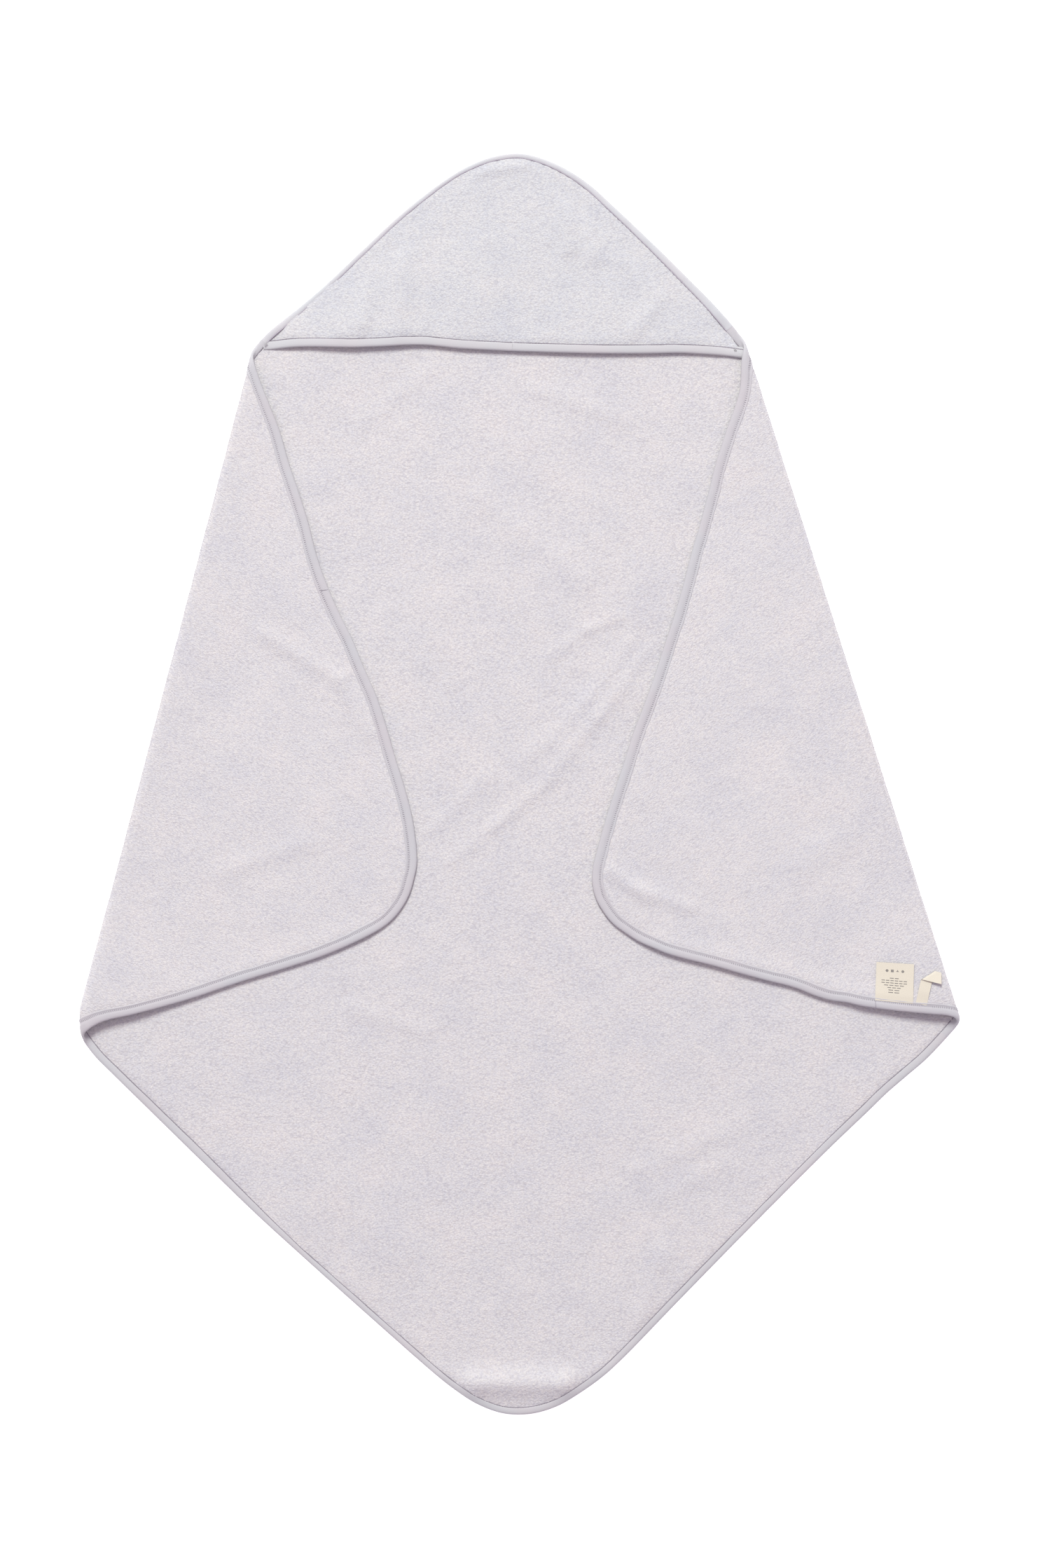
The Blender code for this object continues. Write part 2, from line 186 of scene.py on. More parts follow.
def new_mesh(name, points, faces, cloth, crease=60.0):
    """A mesh object whose faces point outwards. cloth holds each point's place in the pattern."""
    points = np.asarray(points, float)
    mesh = bpy.data.meshes.new(name)
    mesh.from_pydata(points.tolist(), [], [tuple(f) for f in faces])
    mesh.validate()
    mesh.calc_loop_triangles()
    corners = np.zeros(len(mesh.loop_triangles) * 3, int)
    mesh.loop_triangles.foreach_get("vertices", corners)
    a, b, c = points[corners.reshape(-1, 3)].transpose(1, 0, 2)
    if (np.cross(a, b) * c).sum() < 0:
        mesh.flip_normals()
    flat = np.zeros((len(points), 3), np.float32)
    flat[:, : cloth.shape[1]] = cloth
    attribute = mesh.attributes.new("cloth", "FLOAT_VECTOR", "POINT")
    attribute.data.foreach_set("vector", flat.ravel())
    mesh.shade_smooth()
    mesh.set_sharp_from_angle(angle=math.radians(crease))
    obj = bpy.data.objects.new(name, mesh)
    bpy.context.scene.collection.objects.link(obj)
    return obj


def woven_grid(outline, edge, shows, turn):
    """A grid turned by an angle, and which of its cells lie inside the outline and its binding."""
    u = np.array([math.cos(turn), math.sin(turn)])
    v = np.array([-u[1], u[0]])
    columns, rows = (
        np.arange(span.min() // SPACING - 1, span.max() // SPACING + 3) * SPACING
        for span in (outline @ u, outline @ v)
    )
    grid = columns[None, :, None] * u + rows[:, None, None] * v
    centres = (grid[1:, 1:] + grid[:-1, :-1]).reshape(-1, 2) / 2
    kept = inside(centres, outline)
    kept[kept] = nearest(centres[kept], *edge)[0] > 3.5 * MM * shows(centres[kept])
    kept = kept.reshape(len(rows) - 1, len(columns) - 1)
    for _ in range(2):  # cells that hang on by one side
        p = np.pad(kept, 1).astype(int)
        kept &= (p[2:, 1:-1] + p[:-2, 1:-1] + p[1:-1, 2:] + p[1:-1, :-2]) > 1
    return grid, kept


def fit_to_edge(place, rim, outline, edge, join, shows):
    """Moves a grid's points near the outline onto even rows along it. rim says which are its last."""
    gap, near, inward = nearest(place, *edge)
    gap = np.where(inside(place, outline), gap, -gap) / shows(place)
    inward = inward * shows(place)[:, None]
    to_join = np.zeros(len(place), bool)
    if len(join[0]):
        join_gap, join_near, _ = nearest(place, *join)
        to_join = rim & (join_gap < np.abs(gap) * shows(place) + 2 * MM)
    row = np.where(gap < 8.9 * MM, PRESSED_TO, FULL_FROM)
    on_row = (gap >= 5.9 * MM) & (gap < 12.1 * MM) & ~rim
    place = np.where(on_row[:, None], near + inward * row[:, None], place)
    place = np.where((rim & ~to_join)[:, None], near + inward * TUCK, place)
    if len(join[0]):
        place = np.where(to_join[:, None], join_near, place)
    return place


def woven(name, outline, bound, lie, shows, turn, lumps, seed):
    """A sheet of towelling, as a closed mesh.

    outline is the pattern's edge and bound says which of its segments have a binding. The other
    segments are where the cloth runs on in another piece, which meets it on that very line.
    """
    following = np.roll(outline, -1, axis=0)
    edge = outline[bound], following[bound]
    join = outline[~bound], following[~bound]
    grid, kept = woven_grid(outline, edge, shows, turn)
    p = np.pad(kept, 1).astype(int)
    touching = p[1:, 1:] + p[:-1, 1:] + p[1:, :-1] + p[:-1, :-1]
    used = touching > 0
    number = np.full(used.shape, -1)
    number[used] = np.arange(used.sum())
    place = fit_to_edge(grid[used], (touching < 4)[used], outline, edge, join, shows)
    gap = nearest(place, *edge)[0] / shows(place)
    thick = np.interp(gap, [PRESSED_TO, FULL_FROM], [PRESSED, HALF])
    open_pile = smooth((gap - PRESSED_TO) / (6 * MM))
    face = thick + open_pile * lumps * pile(place, seed)
    reverse = thick + open_pile * lumps * pile(place, seed + 50)
    points = np.vstack([lie(place, face), lie(place, -reverse)])
    cells = np.stack([number[:-1, :-1], number[:-1, 1:], number[1:, 1:], number[1:, :-1]], -1)[kept]
    count = len(place)
    sides = np.vstack([np.stack([cells[:, k], cells[:, (k + 1) % 4]], 1) for k in range(4)])
    keys = sides[:, 0] * count + sides[:, 1]
    lone = sides[~np.isin(keys, sides[:, 1] * count + sides[:, 0])]
    walls = np.column_stack([lone[:, 1], lone[:, 0], lone[:, 0] + count, lone[:, 1] + count])
    faces = np.vstack([cells, cells[:, ::-1] + count, walls])
    cloth = np.vstack([np.column_stack([place, np.full(count, side)]) for side in (0.0, 1.0)])
    return new_mesh(name, points, faces.tolist(), cloth)


def pile(place, seed):
    """Unevenness of the looped pile, from about -1 to 1."""
    fine = noise(place, 6.5 * MM, seed)
    middle = noise(place @ SKEW, 14 * MM, seed + 1)
    return 0.6 * fine + 0.5 * middle


def tube_faces(n, m, first=0):
    """Faces of a tube with closed ends: n rings of m points, numbered from first."""
    index = np.arange(n * m).reshape(n, m) + first
    ring = np.roll(index, -1, axis=1)
    faces = np.stack([index[:-1], index[1:], ring[1:], ring[:-1]], -1).reshape(-1, 4).tolist()
    return faces + [index[0].tolist(), index[-1][::-1].tolist()]


def swept(name, line, profile, lie, shows, seed, first=None, last=None):
    """A strip along an edge of the pattern. profile holds (inward, height) in millimetres.

    first and last, where given, are the sections at its ends. The strip changes to them smoothly.
    """
    normals = left_normals(line)
    along = arc(line)
    inward, height = mm(profile).T
    for end, away in ((first, along), (last, along[-1] - along)):
        if end is not None:
            other_inward, other_height = mm(end).T
            share = smooth(away / TAPE_CHANGE)[:, None]
            inward = other_inward + (inward - other_inward) * share
            height = other_height + (height - other_height) * share
    track = np.column_stack([along, along * 0])
    puckers = 1 + 0.030 * noise(track, 11 * MM, seed) + 0.018 * noise(track, 5 * MM, seed + 2)
    tall = 1 + 0.060 * noise(track + MM, 8 * MM, seed + 1)
    w = np.broadcast_to(inward, (len(line), len(profile))) * (puckers * shows(line))[:, None]
    h = height * tall[:, None]
    place = line[:, None] + normals[:, None] * w[..., None]
    points = lie(place.reshape(-1, 2), h.ravel())
    n, m = w.shape
    cloth = np.column_stack([np.repeat(along, m), np.tile(arc(mm(profile)), n)])
    return new_mesh(name, points, tube_faces(n, m), cloth, crease=75.0)


def thread_rings(line, radius):
    """Points round a line in the pattern's space, (x, y, height)."""
    slope = np.gradient(line, axis=0)
    slope /= np.linalg.norm(slope, axis=1)[:, None]
    side = np.cross(slope, [0.0, 0.0, 1.0])
    side /= np.linalg.norm(side, axis=1)[:, None]
    up = np.cross(side, slope)
    turn = (np.arange(THREAD_SIDES) * 2 * math.pi / THREAD_SIDES)[:, None]
    across = side[:, None] * np.cos(turn) + up[:, None] * np.sin(turn)
    return line[:, None] + radius[:, None, None] * across


def threads(name, lines, radius, lie):
    """Threads as one mesh. Each line is a run of (x, y, height) in the pattern's space."""
    points, faces, first = [], [], 0
    for line in lines:
        count = np.arange(len(line))
        taper = np.interp(np.minimum(count, count[::-1]), [0, 1, 2], [0.4, 0.9, 1])
        points.append(thread_rings(line, radius * taper).reshape(-1, 3))
        faces += tube_faces(len(line), THREAD_SIDES, first)
        first += len(line) * THREAD_SIDES
    flat = np.vstack(points)
    return new_mesh(name, lie(flat[:, :2], flat[:, 2]), faces, flat, crease=80.0)


# -------- how the cloth lies

# Soft ridges in the cloth, in millimetres: x and y of both ends, width and height.
BASE_RIDGES = (
    (-64, -70, -22, -36, 5.5, 1.0), (-22, -36, 24, 2, 5.5, 1.2), (-80, -42, -28, 8, 6, 0.8),
    (26, 6, 70, 60, 6, 1.1), (70, 60, 112, 118, 6, 1.0), (2, 20, 58, 74, 6, 0.8),
    (58, 74, 98, 126, 6, 0.9), (24, 112, 60, 138, 5, 0.9), (60, 138, 88, 149, 5, 1.1),
    (20, 24, 86, 84, 18, 0.9), (-34, 256, 58, 180, 11, 0.9), (10, 353, 96, 323, 7, 0.9),
    (-140, 322, -80, 370, 7, 0.8), (-152, -200, -80, -222, 7, 1.0), (104, -346, 196, -305, 9, 0.9),
    (120, -372, 182, -338, 7, 0.7), (-70, -527, -36, -535, 11, 1.6), (-40, -535, 38, -535, 11, 6.4),
    (34, -535, 70, -524, 11, 1.6), (128, -420, 106, -476, 9, 1.3), (-160, -360, -110, -420, 16, 0.9),
)
HOOD_RIDGES = (
    (-68, 524, -40, 546.5, 5, 1.2), (-40, 547, 2, 552, 4.5, 1.8), (38, 536, 45, 478, 7, 1.9),
    (60, 520, 66, 470, 7, 1.7), (80, 508, 92, 468, 7, 1.5), (92, 466, 124, 438, 7, 1.3),
    (100, 403, 132, 440, 7, 1.5), (-141, 456, -141, 410, 8, 2.4), (-106, 470, -110, 408, 9, 1.9),
    (-172, 428, -160, 404, 7, 1.2), (-100, 498, -72, 520, 10, 1.0), (-40, 430, -36, 480, 18, 0.8),
)
FLAP_RIDGES = (
    (-230, 134, -162, 93, 7, 1.6), (-162, 93, -136, 46, 8, 1.5), (-297, 170, -284, 104, 6, 1.1),
    (-266, -78, -190, -52, 9, 1.0), (82, -78, 112, -102, 6, 1.6), (100, -92, 150, -110, 6, 1.5),
    (250, -70, 300, -40, 14, 0.9), (-140, -134, -300, -188, 14, 1.2), (120, -146, 300, -192, 14, 1.9),
    (312, -196, 366, -202, 14, 2.0),
)


def ridges(place, table):
    total = np.zeros(len(place))
    for *ends, width, height in table:
        a, b = mm(ends).reshape(2, 2)
        run = b - a
        share = ((place - a) @ run) / (run @ run)
        near = a + np.clip(share, 0, 1)[:, None] * run
        gap = np.linalg.norm(place - near, axis=1) / (width * MM)
        total += height * MM * np.exp(-(gap**2))
    return total


def base_middle(place):
    """Height of the towelling's middle where it lies on the floor. It is flat along the folds."""
    slow = 0.5 + 0.5 * noise(place, 95 * MM, 3)
    quick = 0.5 + 0.5 * noise(place, 38 * MM, 4)
    fine = 0.5 + 0.5 * noise(place @ SKEW, 19 * MM, 5)
    free = np.minimum(LEFT.measure(place)[1], RIGHT.measure(place)[1])
    waves = (0.8 * slow + 0.7 * quick + 0.25 * fine) * MM + ridges(place, BASE_RIDGES)
    return HALF + waves * smooth((free - 14 * MM) / (56 * MM))


def lie_base(place, height):
    return np.column_stack([place, base_middle(place) + height])


class Fold:
    """A side corner folded in over the towel. s runs along the fold, d inwards from it.

    The pattern's outward distance from the fold is -d on the towel, and on the flap it is the
    length of cloth that has gone round the roll.
    """

    def __init__(self, joint, length, tip_start, tip_curve, seed):
        self.length = length
        self.top = np.array(JOINTS[joint]["pos_m"][:2])
        self.along = np.array(JOINTS[joint]["axis"][:2])
        if self.along[1] > 0:  # this joint's line runs up from the tip
            self.top, self.along = self.top + self.along * length, -self.along
        self.inward = np.array([-self.along[1], self.along[0]])
        if self.top @ self.inward > 0:
            self.inward = -self.inward
        self.tip_start, self.tip_curve, self.seed = tip_start, tip_curve, seed

    def line(self, s, d):
        return self.top + np.multiply.outer(s, self.along) + np.multiply.outer(d, self.inward)

    def measure(self, place):
        away = place - self.top
        return away @ self.along, away @ self.inward

    def crest(self, s):
        """How far the fold draws in near its tip."""
        return self.tip_curve * np.clip(s - self.tip_start, 0, 32 * MM) ** 2

    def radius(self, s):
        return ROLL + (TIP_ROLL - ROLL) * smooth((s - self.length + 0.150) / 0.120)

    def start(self, s):
        """Where the cloth leaves the floor to turn over."""
        return self.crest(s) + self.radius(s) + HALF

    def unfold(self, points):
        """Where points of the folded flap are in the pattern."""
        s, d = self.measure(mm(points))
        return self.line(s, 2 * self.start(s) - d - math.pi * self.radius(s))

    def rest(self, place, low):
        """Height of the flap's middle where it rests on the towel."""
        slow = 0.5 + 0.5 * noise(place, 80 * MM, self.seed)
        return low + 2 * HALF + FLAP_GAP + 0.8 * MM * slow + ridges(place, FLAP_RIDGES)

    def flap_middle(self, place, low, s, over):
        """Height and slope of the flap's middle: from the roll it comes down to rest."""
        high = low + 2 * self.radius(s)
        drop = high - self.rest(place, low)
        reach = 0.060 + 0.060 * smooth((s - self.length + 0.170) / 0.140)
        settle = smooth(over / reach)
        return high - drop * settle, 6 * drop / reach * settle * (1 - settle)

    def lie(self, place, height):
        s, d = self.measure(place)
        r = self.radius(s)
        turned = self.start(s) - d  # length of cloth past the point where it leaves the floor
        angle = np.clip(turned / r, 0, math.pi)
        over = np.clip(turned - math.pi * r, 0, None)
        under = np.clip(-turned, 0, None)
        depth = self.start(s) + under + over - r * np.sin(angle)
        ground = self.line(s, 0) + depth[:, None] * self.inward
        low = base_middle(ground)
        flap, slope = self.flap_middle(ground, low, s, over)
        level = np.where(angle < math.pi, low + r * (1 - np.cos(angle)), flap)
        tilt = np.hypot(1, slope)
        out_d = np.where(over > 0, slope / tilt, -np.sin(angle))
        out_z = np.where(over > 0, 1 / tilt, -np.cos(angle))
        spot = ground - (height * out_d)[:, None] * self.inward
        return np.column_stack([spot, level - height * out_z])

    def top_side(self, place):
        """Height of the flap's upper surface at a place seen from above."""
        s, d = self.measure(place)
        over = np.clip(d - self.start(s), 0, None)
        return self.flap_middle(place, base_middle(place), s, over)[0] + HALF

    def strip(self):
        """The line where the folded piece meets the main one, from the hood to the tip."""
        s = np.array([-0.030, self.length - 0.045, self.length - 0.008, self.length + 0.040])
        return self.line(s, np.array([STRIP, STRIP, TIP_STRIP, TIP_STRIP]))

    def blend(self, obj, flap):
        """Bakes obj's placement into its mesh, and works out where a bend round this fold would start
        and end.
        """
        middle = self.top + self.along * self.length / 2
        way = np.array([*(self.inward * BLEND_TILT), 1.0])
        start, end = (np.array([*middle, 0.0]) + way * level / (way @ way) for level in BLEND_LEVELS)
        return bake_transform(obj, "towel", flap, start=tuple(start), end=tuple(end))


LEFT = Fold("left_flap_fold", length=0.6312, tip_start=0.600, tip_curve=9.0, seed=21)
RIGHT = Fold("right_flap_fold", length=0.6506, tip_start=0.635, tip_curve=13.7, seed=22)

# -------- the pattern

# The lying towel's edges seen from above, in millimetres: the hood's from right to left, the left
# flap's from the hood to its tip, the bottom's from left to right and the right flap's from its tip
# to the hood.
HOOD_OUTLINE = [
    (168, 433), (150, 451), (116, 484.5), (81, 517.5), (63.5, 533.5), (44, 547), (22, 557.5),
    (-1, 563), (-25, 560), (-47, 551.5), (-68, 539), (-106, 509.5), (-141, 477), (-176, 444),
    (-196, 427),
]
BOTTOM_OUTLINE = [
    (-380, -243.5), (-365, -258.5), (-341.5, -281.5), (-290, -332), (-238.5, -382), (-203, -414.5),
    (-167.5, -446.5), (-95.5, -510.5), (-77.5, -526), (-58.5, -541), (-38, -554), (-15.5, -562),
    (8.5, -562.5), (31.5, -556), (52.5, -544), (72, -530), (90, -514), (140, -462.5), (207, -394),
    (275, -326), (310, -292.5), (327, -276), (345, -260.5), (363.5, -244.5),
]
LEFT_FLAP_OUTLINE = [
    (-232.7, 360.3), (-224.5, 339.5), (-214.5, 313.5), (-206.8, 286.5), (-198, 260.5),
    (-189.6, 233.5), (-182.7, 206.5), (-173.7, 179.8), (-162.6, 154), (-150.2, 129),
    (-139.4, 103), (-128.2, 77.4), (-119.7, 50.6), (-111.8, 23.7), (-103.5, -3), (-96.7, -30),
    (-93, -58), (-92.7, -72), (-95.4, -85.5), (-99.4, -98.7), (-106, -110.8), (-114.8, -121.4),
    (-125.7, -129.8), (-150.7, -142.7), (-176.6, -153.6), (-203.3, -162.5), (-243.5, -174.7),
    (-270, -183.5), (-283, -188), (-296.3, -192.2), (-323, -199.7), (-350.3, -206.5),
    (-364, -209.3), (-375.5, -213),
]
RIGHT_FLAP_OUTLINE = [
    (381.5, -206.4), (365.5, -205), (333.6, -202), (304, -198), (290.5, -195), (276, -193),
    (262, -188.8), (249.2, -183.5), (236.4, -179.5), (223.4, -176.4), (197, -169.4), (171, -162),
    (145, -155.6), (131, -151.5), (117.4, -146), (105, -140.5), (93.2, -133), (82.2, -124.7),
    (73.4, -113.8), (66.8, -101.6), (63.7, -88), (64.4, -74), (67.6, -60.6), (75, -33.8),
    (83.4, -7), (92.2, 19.5), (100.7, 46.3), (110.8, 72.5), (120.1, 98.7), (128.5, 124.7),
    (137.3, 151.2), (145.1, 178.2), (152.1, 205.3), (160, 232), (167.2, 259.2), (174.1, 286.4),
    (182.6, 313), (195, 350),
]
HOOD_FRONT = [
    (-229.5, 387.2), (-221.6, 387.8), (-208, 389.2), (-193.7, 389.9), (-166, 389.5),
    (-152, 389.2), (-124, 390.2), (-96, 391.5), (-82, 391.2), (-68, 389.8), (-54, 388.4),
    (-26, 386.9), (2, 385.7), (30, 384.8), (58, 384.1), (86, 383.8), (114, 383.9),
    (142, 384.4), (156, 383.8), (184, 381.8), (201, 379.4),
]


def crossing(fold, s, out):
    """A point of the pattern's edge near a fold, given along it and outwards from it."""
    return fold.line(s * MM, -out * MM)[None]


TOWEL_EDGE = spline(
    np.vstack([
        mm(HOOD_OUTLINE),
        crossing(LEFT, -18, -8.5),
        crossing(LEFT, 0.5, 1.0),
        LEFT.unfold(LEFT_FLAP_OUTLINE),
        crossing(LEFT, 631, -6.5),
        mm(BOTTOM_OUTLINE),
        crossing(RIGHT, 645.5, -0.5),
        RIGHT.unfold(RIGHT_FLAP_OUTLINE),
        crossing(RIGHT, 23, 9.0),
        crossing(RIGHT, 5, -0.9),
        crossing(RIGHT, -11.4, -7.4),
    ]),
    EDGE_STEP,
    closed=True,
)[:-1]


# How much of the full width of a binding's face shows, because the rest has rolled under: places from
# left to right along the bottom edges and along the hood, and the shares there.
BOTTOM_SHOWS = ((-0.375, -0.29, -0.24, -0.20, -0.15, -0.06, 0.0, 0.08, 0.20, 0.30, 0.375),
                (0.90, 1.00, 0.85, 0.63, 0.70, 0.72, 0.85, 0.83, 0.86, 0.93, 0.95))
HOOD_SHOWS = ((-0.235, -0.215, -0.19, -0.15, -0.06, -0.02, 0.02, 0.06, 0.10, 0.17, 0.20),
              (0.80, 0.78, 0.58, 0.52, 0.46, 0.56, 0.60, 0.68, 0.72, 0.91, 1.04))


def shows_main(place):
    x, y = place.T
    return np.where(y < 0, np.interp(x, *BOTTOM_SHOWS), np.interp(x, *HOOD_SHOWS))


def full_width(place):
    return np.ones(len(place))


def shows_hood(place):
    """The front edge's binding shows whole, and the sewn sides' binding as on the towel."""
    front = smooth((0.412 - place[:, 1]) / 0.012)
    return front + (1 - front) * np.interp(place[:, 0], *HOOD_SHOWS)


def shows_left(place):
    return np.interp(LEFT.measure(place)[0], (0.0, 0.070, 0.570, 0.620), (0.80, 1.0, 1.0, 0.90))


def shows_right(place):
    return np.interp(RIGHT.measure(place)[0], (-0.012, 0.070, 0.590, 0.640), (0.98, 1.0, 1.0, 0.95))


def where(fold, s, out):
    """Index of the edge point nearest to a place given along and outwards from a fold."""
    place = fold.line(s * MM, -out * MM)
    return int(np.linalg.norm(TOWEL_EDGE - place, axis=1).argmin())


def piece_of_edge(first, last):
    """The pattern's edge from one index to another, going round it in its own direction."""
    if last >= first:
        return TOWEL_EDGE[first : last + 1]
    return np.vstack([TOWEL_EDGE[first:], TOWEL_EDGE[: last + 1]])


def cut_at(fold, start, stop, inward):
    """The index between two others where the edge crosses a line this far inside a fold."""
    count = (stop - start) % len(TOWEL_EDGE)
    indices = (start + np.arange(count + 1)) % len(TOWEL_EDGE)
    return int(indices[np.abs(fold.measure(TOWEL_EDGE[indices])[1] - inward).argmin()])


APEX = int(TOWEL_EDGE[:, 1].argmax())
LEFT_CORNER = where(LEFT, 420, 262)
RIGHT_CORNER = where(RIGHT, 440, 279)
BOTTOM = int(np.abs(TOWEL_EDGE - mm((0, -563))).sum(1).argmin())
LEFT_HOOD_CUT = cut_at(LEFT, APEX, LEFT_CORNER, STRIP)
LEFT_TIP_CUT = cut_at(LEFT, LEFT_CORNER, BOTTOM, TIP_STRIP)
RIGHT_TIP_CUT = cut_at(RIGHT, BOTTOM, RIGHT_CORNER, TIP_STRIP)
RIGHT_HOOD_CUT = cut_at(RIGHT, RIGHT_CORNER, APEX, STRIP)
LEFT_TURN = cut_at(LEFT, APEX, LEFT_CORNER, TAPE_TURN)
RIGHT_TURN = cut_at(RIGHT, RIGHT_CORNER, APEX, TAPE_TURN)


def closed_outline(*parts):
    """Joins (line, has a binding) parts into one outline and says which segments are bound."""
    points, bound = [], []
    for line, has_binding in parts:
        points.append(line[:-1])
        bound += [has_binding] * (len(line) - 1)
    return np.vstack(points), np.array(bound)


def strip_between(fold, first, last):
    """The joining line of a fold from one edge point to another, measured along the fold."""
    line = fold.strip()
    along = fold.measure(line)[0]
    ends = fold.measure(np.array([first, last]))[0]
    s = np.linspace(*ends, 60)
    d = np.interp(s, along, fold.measure(line)[1])
    middle = fold.line(s, d)
    middle[0], middle[-1] = first, last
    return middle


# -------- materials


class Nodes:
    """A small helper to write a material's node tree."""

    def __init__(self, name):
        self.material = bpy.data.materials.new(name)
        self.material.use_nodes = True
        self.tree = self.material.node_tree
        self.shader = self.tree.nodes["Principled BSDF"]

    def add(self, kind, inputs=(), **settings):
        node = self.tree.nodes.new("ShaderNode" + kind)
        for key, value in settings.items():
            setattr(node, key, value)
        for socket, value in dict(inputs).items():
            if isinstance(value, bpy.types.NodeSocket):
                self.tree.links.new(value, node.inputs[socket])
            else:
                node.inputs[socket].default_value = value
        return node

    def cloth(self, scale=(1, 1, 1), rotation=0.0):
        """The cloth's own coordinates, so that a texture stays put when the cloth moves."""
        place = self.add("Attribute", attribute_name="cloth").outputs["Vector"]
        turn = {"Vector": place, "Scale": scale, "Rotation": (0, 0, rotation)}
        return self.add("Mapping", turn).outputs["Vector"]

    def noise(self, vector, scale, detail=2.0, rough=0.5):
        settings = {"Vector": vector, "Scale": scale, "Detail": detail, "Roughness": rough}
        return self.add("TexNoise", settings).outputs["Fac"]

    def wave(self, vector, **settings):
        inputs = {"Vector": vector, **{key.title(): value for key, value in settings.items()}}
        return self.add("TexWave", inputs, bands_direction="Y").outputs["Fac"]

    def ramp(self, factor, *stops):
        node = self.add("ValToRGB", {"Fac": factor})
        ramp = node.color_ramp
        while len(ramp.elements) < len(stops):
            ramp.elements.new(0.5)
        for element, (position, colour) in zip(ramp.elements, stops):
            element.position = position
            element.color = (*colour, 1.0)
        return node.outputs["Color"]

    def math(self, operation, a, b):
        return self.add("Math", {0: a, 1: b}, operation=operation).outputs[0]

    def tinted(self, colour, *layers):
        """A colour multiplied by each of the layers."""
        tone = (*colour, 1.0)
        for layer in layers:
            inputs = {0: 1.0, 6: tone, 7: layer}  # factor and the two colours
            tone = self.add("Mix", inputs, data_type="RGBA", blend_type="MULTIPLY").outputs[2]
        return tone

    def finish(self, colour, bump=None, strength=0.5, distance=0.5, roughness=0.9, sheen=0.0):
        """Sets the shader. distance is the bump's depth in millimetres."""
        self.tree.links.new(colour, self.shader.inputs["Base Color"])
        settings = {"Roughness": roughness, "Sheen Weight": sheen, "Sheen Roughness": 0.6}
        for socket, value in {**settings, "Specular IOR Level": 0.25}.items():
            self.shader.inputs[socket].default_value = value
        if bump is not None:
            normal = self.add("Bump", {"Height": bump, "Strength": strength, "Distance": distance * MM})
            self.tree.links.new(normal.outputs["Normal"], self.shader.inputs["Normal"])
        return self.material


def shade(colour, factor):
    return tuple(channel * factor for channel in colour)


TERRY_COLOUR = (0.617, 0.605, 0.605)
HOOD_COLOUR = (0.596, 0.602, 0.607)
JERSEY_COLOUR = (0.508, 0.505, 0.507)
# The binding is one jersey tape. Its copy on the hood's edge is painted lighter, as painted light, and
# its copy on the flaps is painted darker, as painted shade.
HOOD_JERSEY_PAINTED_LIGHT_COLOUR = (0.532, 0.537, 0.542)
FLAP_JERSEY_PAINTED_SHADE_COLOUR = (0.496, 0.488, 0.496)
# The seam and cover threads are darker than the tape: partly the thread's own colour, partly painted
# shade of the grooves they lie in.
THREAD_AND_SHADE_COLOUR = (0.275, 0.250, 0.285)
COVER_THREAD_AND_SHADE_COLOUR = (0.350, 0.330, 0.360)
LABEL_COLOUR = (0.672, 0.629, 0.517)


def terry_material(name, colour, stretch, angle):
    """Looped towelling: loops about a millimetre across, lying in short strokes."""
    n = Nodes(name)
    plain = n.cloth()
    strokes = n.cloth((1.0, stretch, 1.0), angle)
    cells = n.add("TexVoronoi", {"Vector": strokes, "Scale": 450.0, "Randomness": 1.0})
    loops = cells.outputs["Distance"]
    fluff = n.noise(strokes, 620.0, 3.0, 0.65)
    clumps = n.noise(plain, 150.0, 2.0, 0.6)
    height = n.math("ADD", n.math("MULTIPLY", n.math("SUBTRACT", 1.0, loops), 0.55), fluff)
    height = n.math("ADD", height, n.math("MULTIPLY", clumps, 0.8))
    tone = n.tinted(
        colour,
        n.ramp(fluff, (0.28, (0.87, 0.865, 0.875)), (0.50, (0.985,) * 3), (0.74, (1.115, 1.11, 1.105))),
        # darker towards the loop cells' borders, in the gaps between the loops: painted shade
        n.ramp(loops, (0.35, (1, 1, 1)), (0.95, (0.86, 0.85, 0.87))),
        n.ramp(
            n.noise(plain, 21.0, 4.0, 0.65),
            (0.34, (0.955, 0.962, 0.982)),
            (0.50, (1.0, 1.0, 1.0)),
            (0.66, (1.036, 1.022, 1.010)),
        ),
        n.ramp(n.noise(plain, 330.0), (0.38, (0.965, 0.970, 0.990)), (0.62, (1.037, 1.030, 1.008))),
    )
    return n.finish(tone, height, strength=0.75, distance=0.7, roughness=0.95, sheen=0.15)


def jersey_material(name, colour):
    """Fine knitted tape: wales along the strip and a faint drift of colour."""
    n = Nodes(name)
    along = n.cloth()
    knit = n.wave(along, scale=330.0, distortion=1.5, detail=1.0)
    fuzz = n.noise(along, 1500.0)
    height = n.math("ADD", n.math("MULTIPLY", knit, 0.4), fuzz)
    drift = n.noise(along, 22.0)
    tone = n.tinted(
        colour,
        n.ramp(drift, (0.35, (0.985, 1.000, 1.012)), (0.65, (1.018, 0.990, 1.004))),
        n.ramp(fuzz, (0.3, (0.965,) * 3), (0.7, (1.035,) * 3)),
    )
    return n.finish(tone, height, strength=0.25, distance=0.12, roughness=0.82, sheen=0.1)


def thread_material(name, colour):
    n = Nodes(name)
    twist = n.noise(n.cloth(), 1400.0, 1.0)
    tone = n.ramp(twist, (0.3, shade(colour, 0.85)), (0.7, shade(colour, 1.12)))
    return n.finish(tone, twist, strength=0.3, distance=0.1, roughness=0.7)


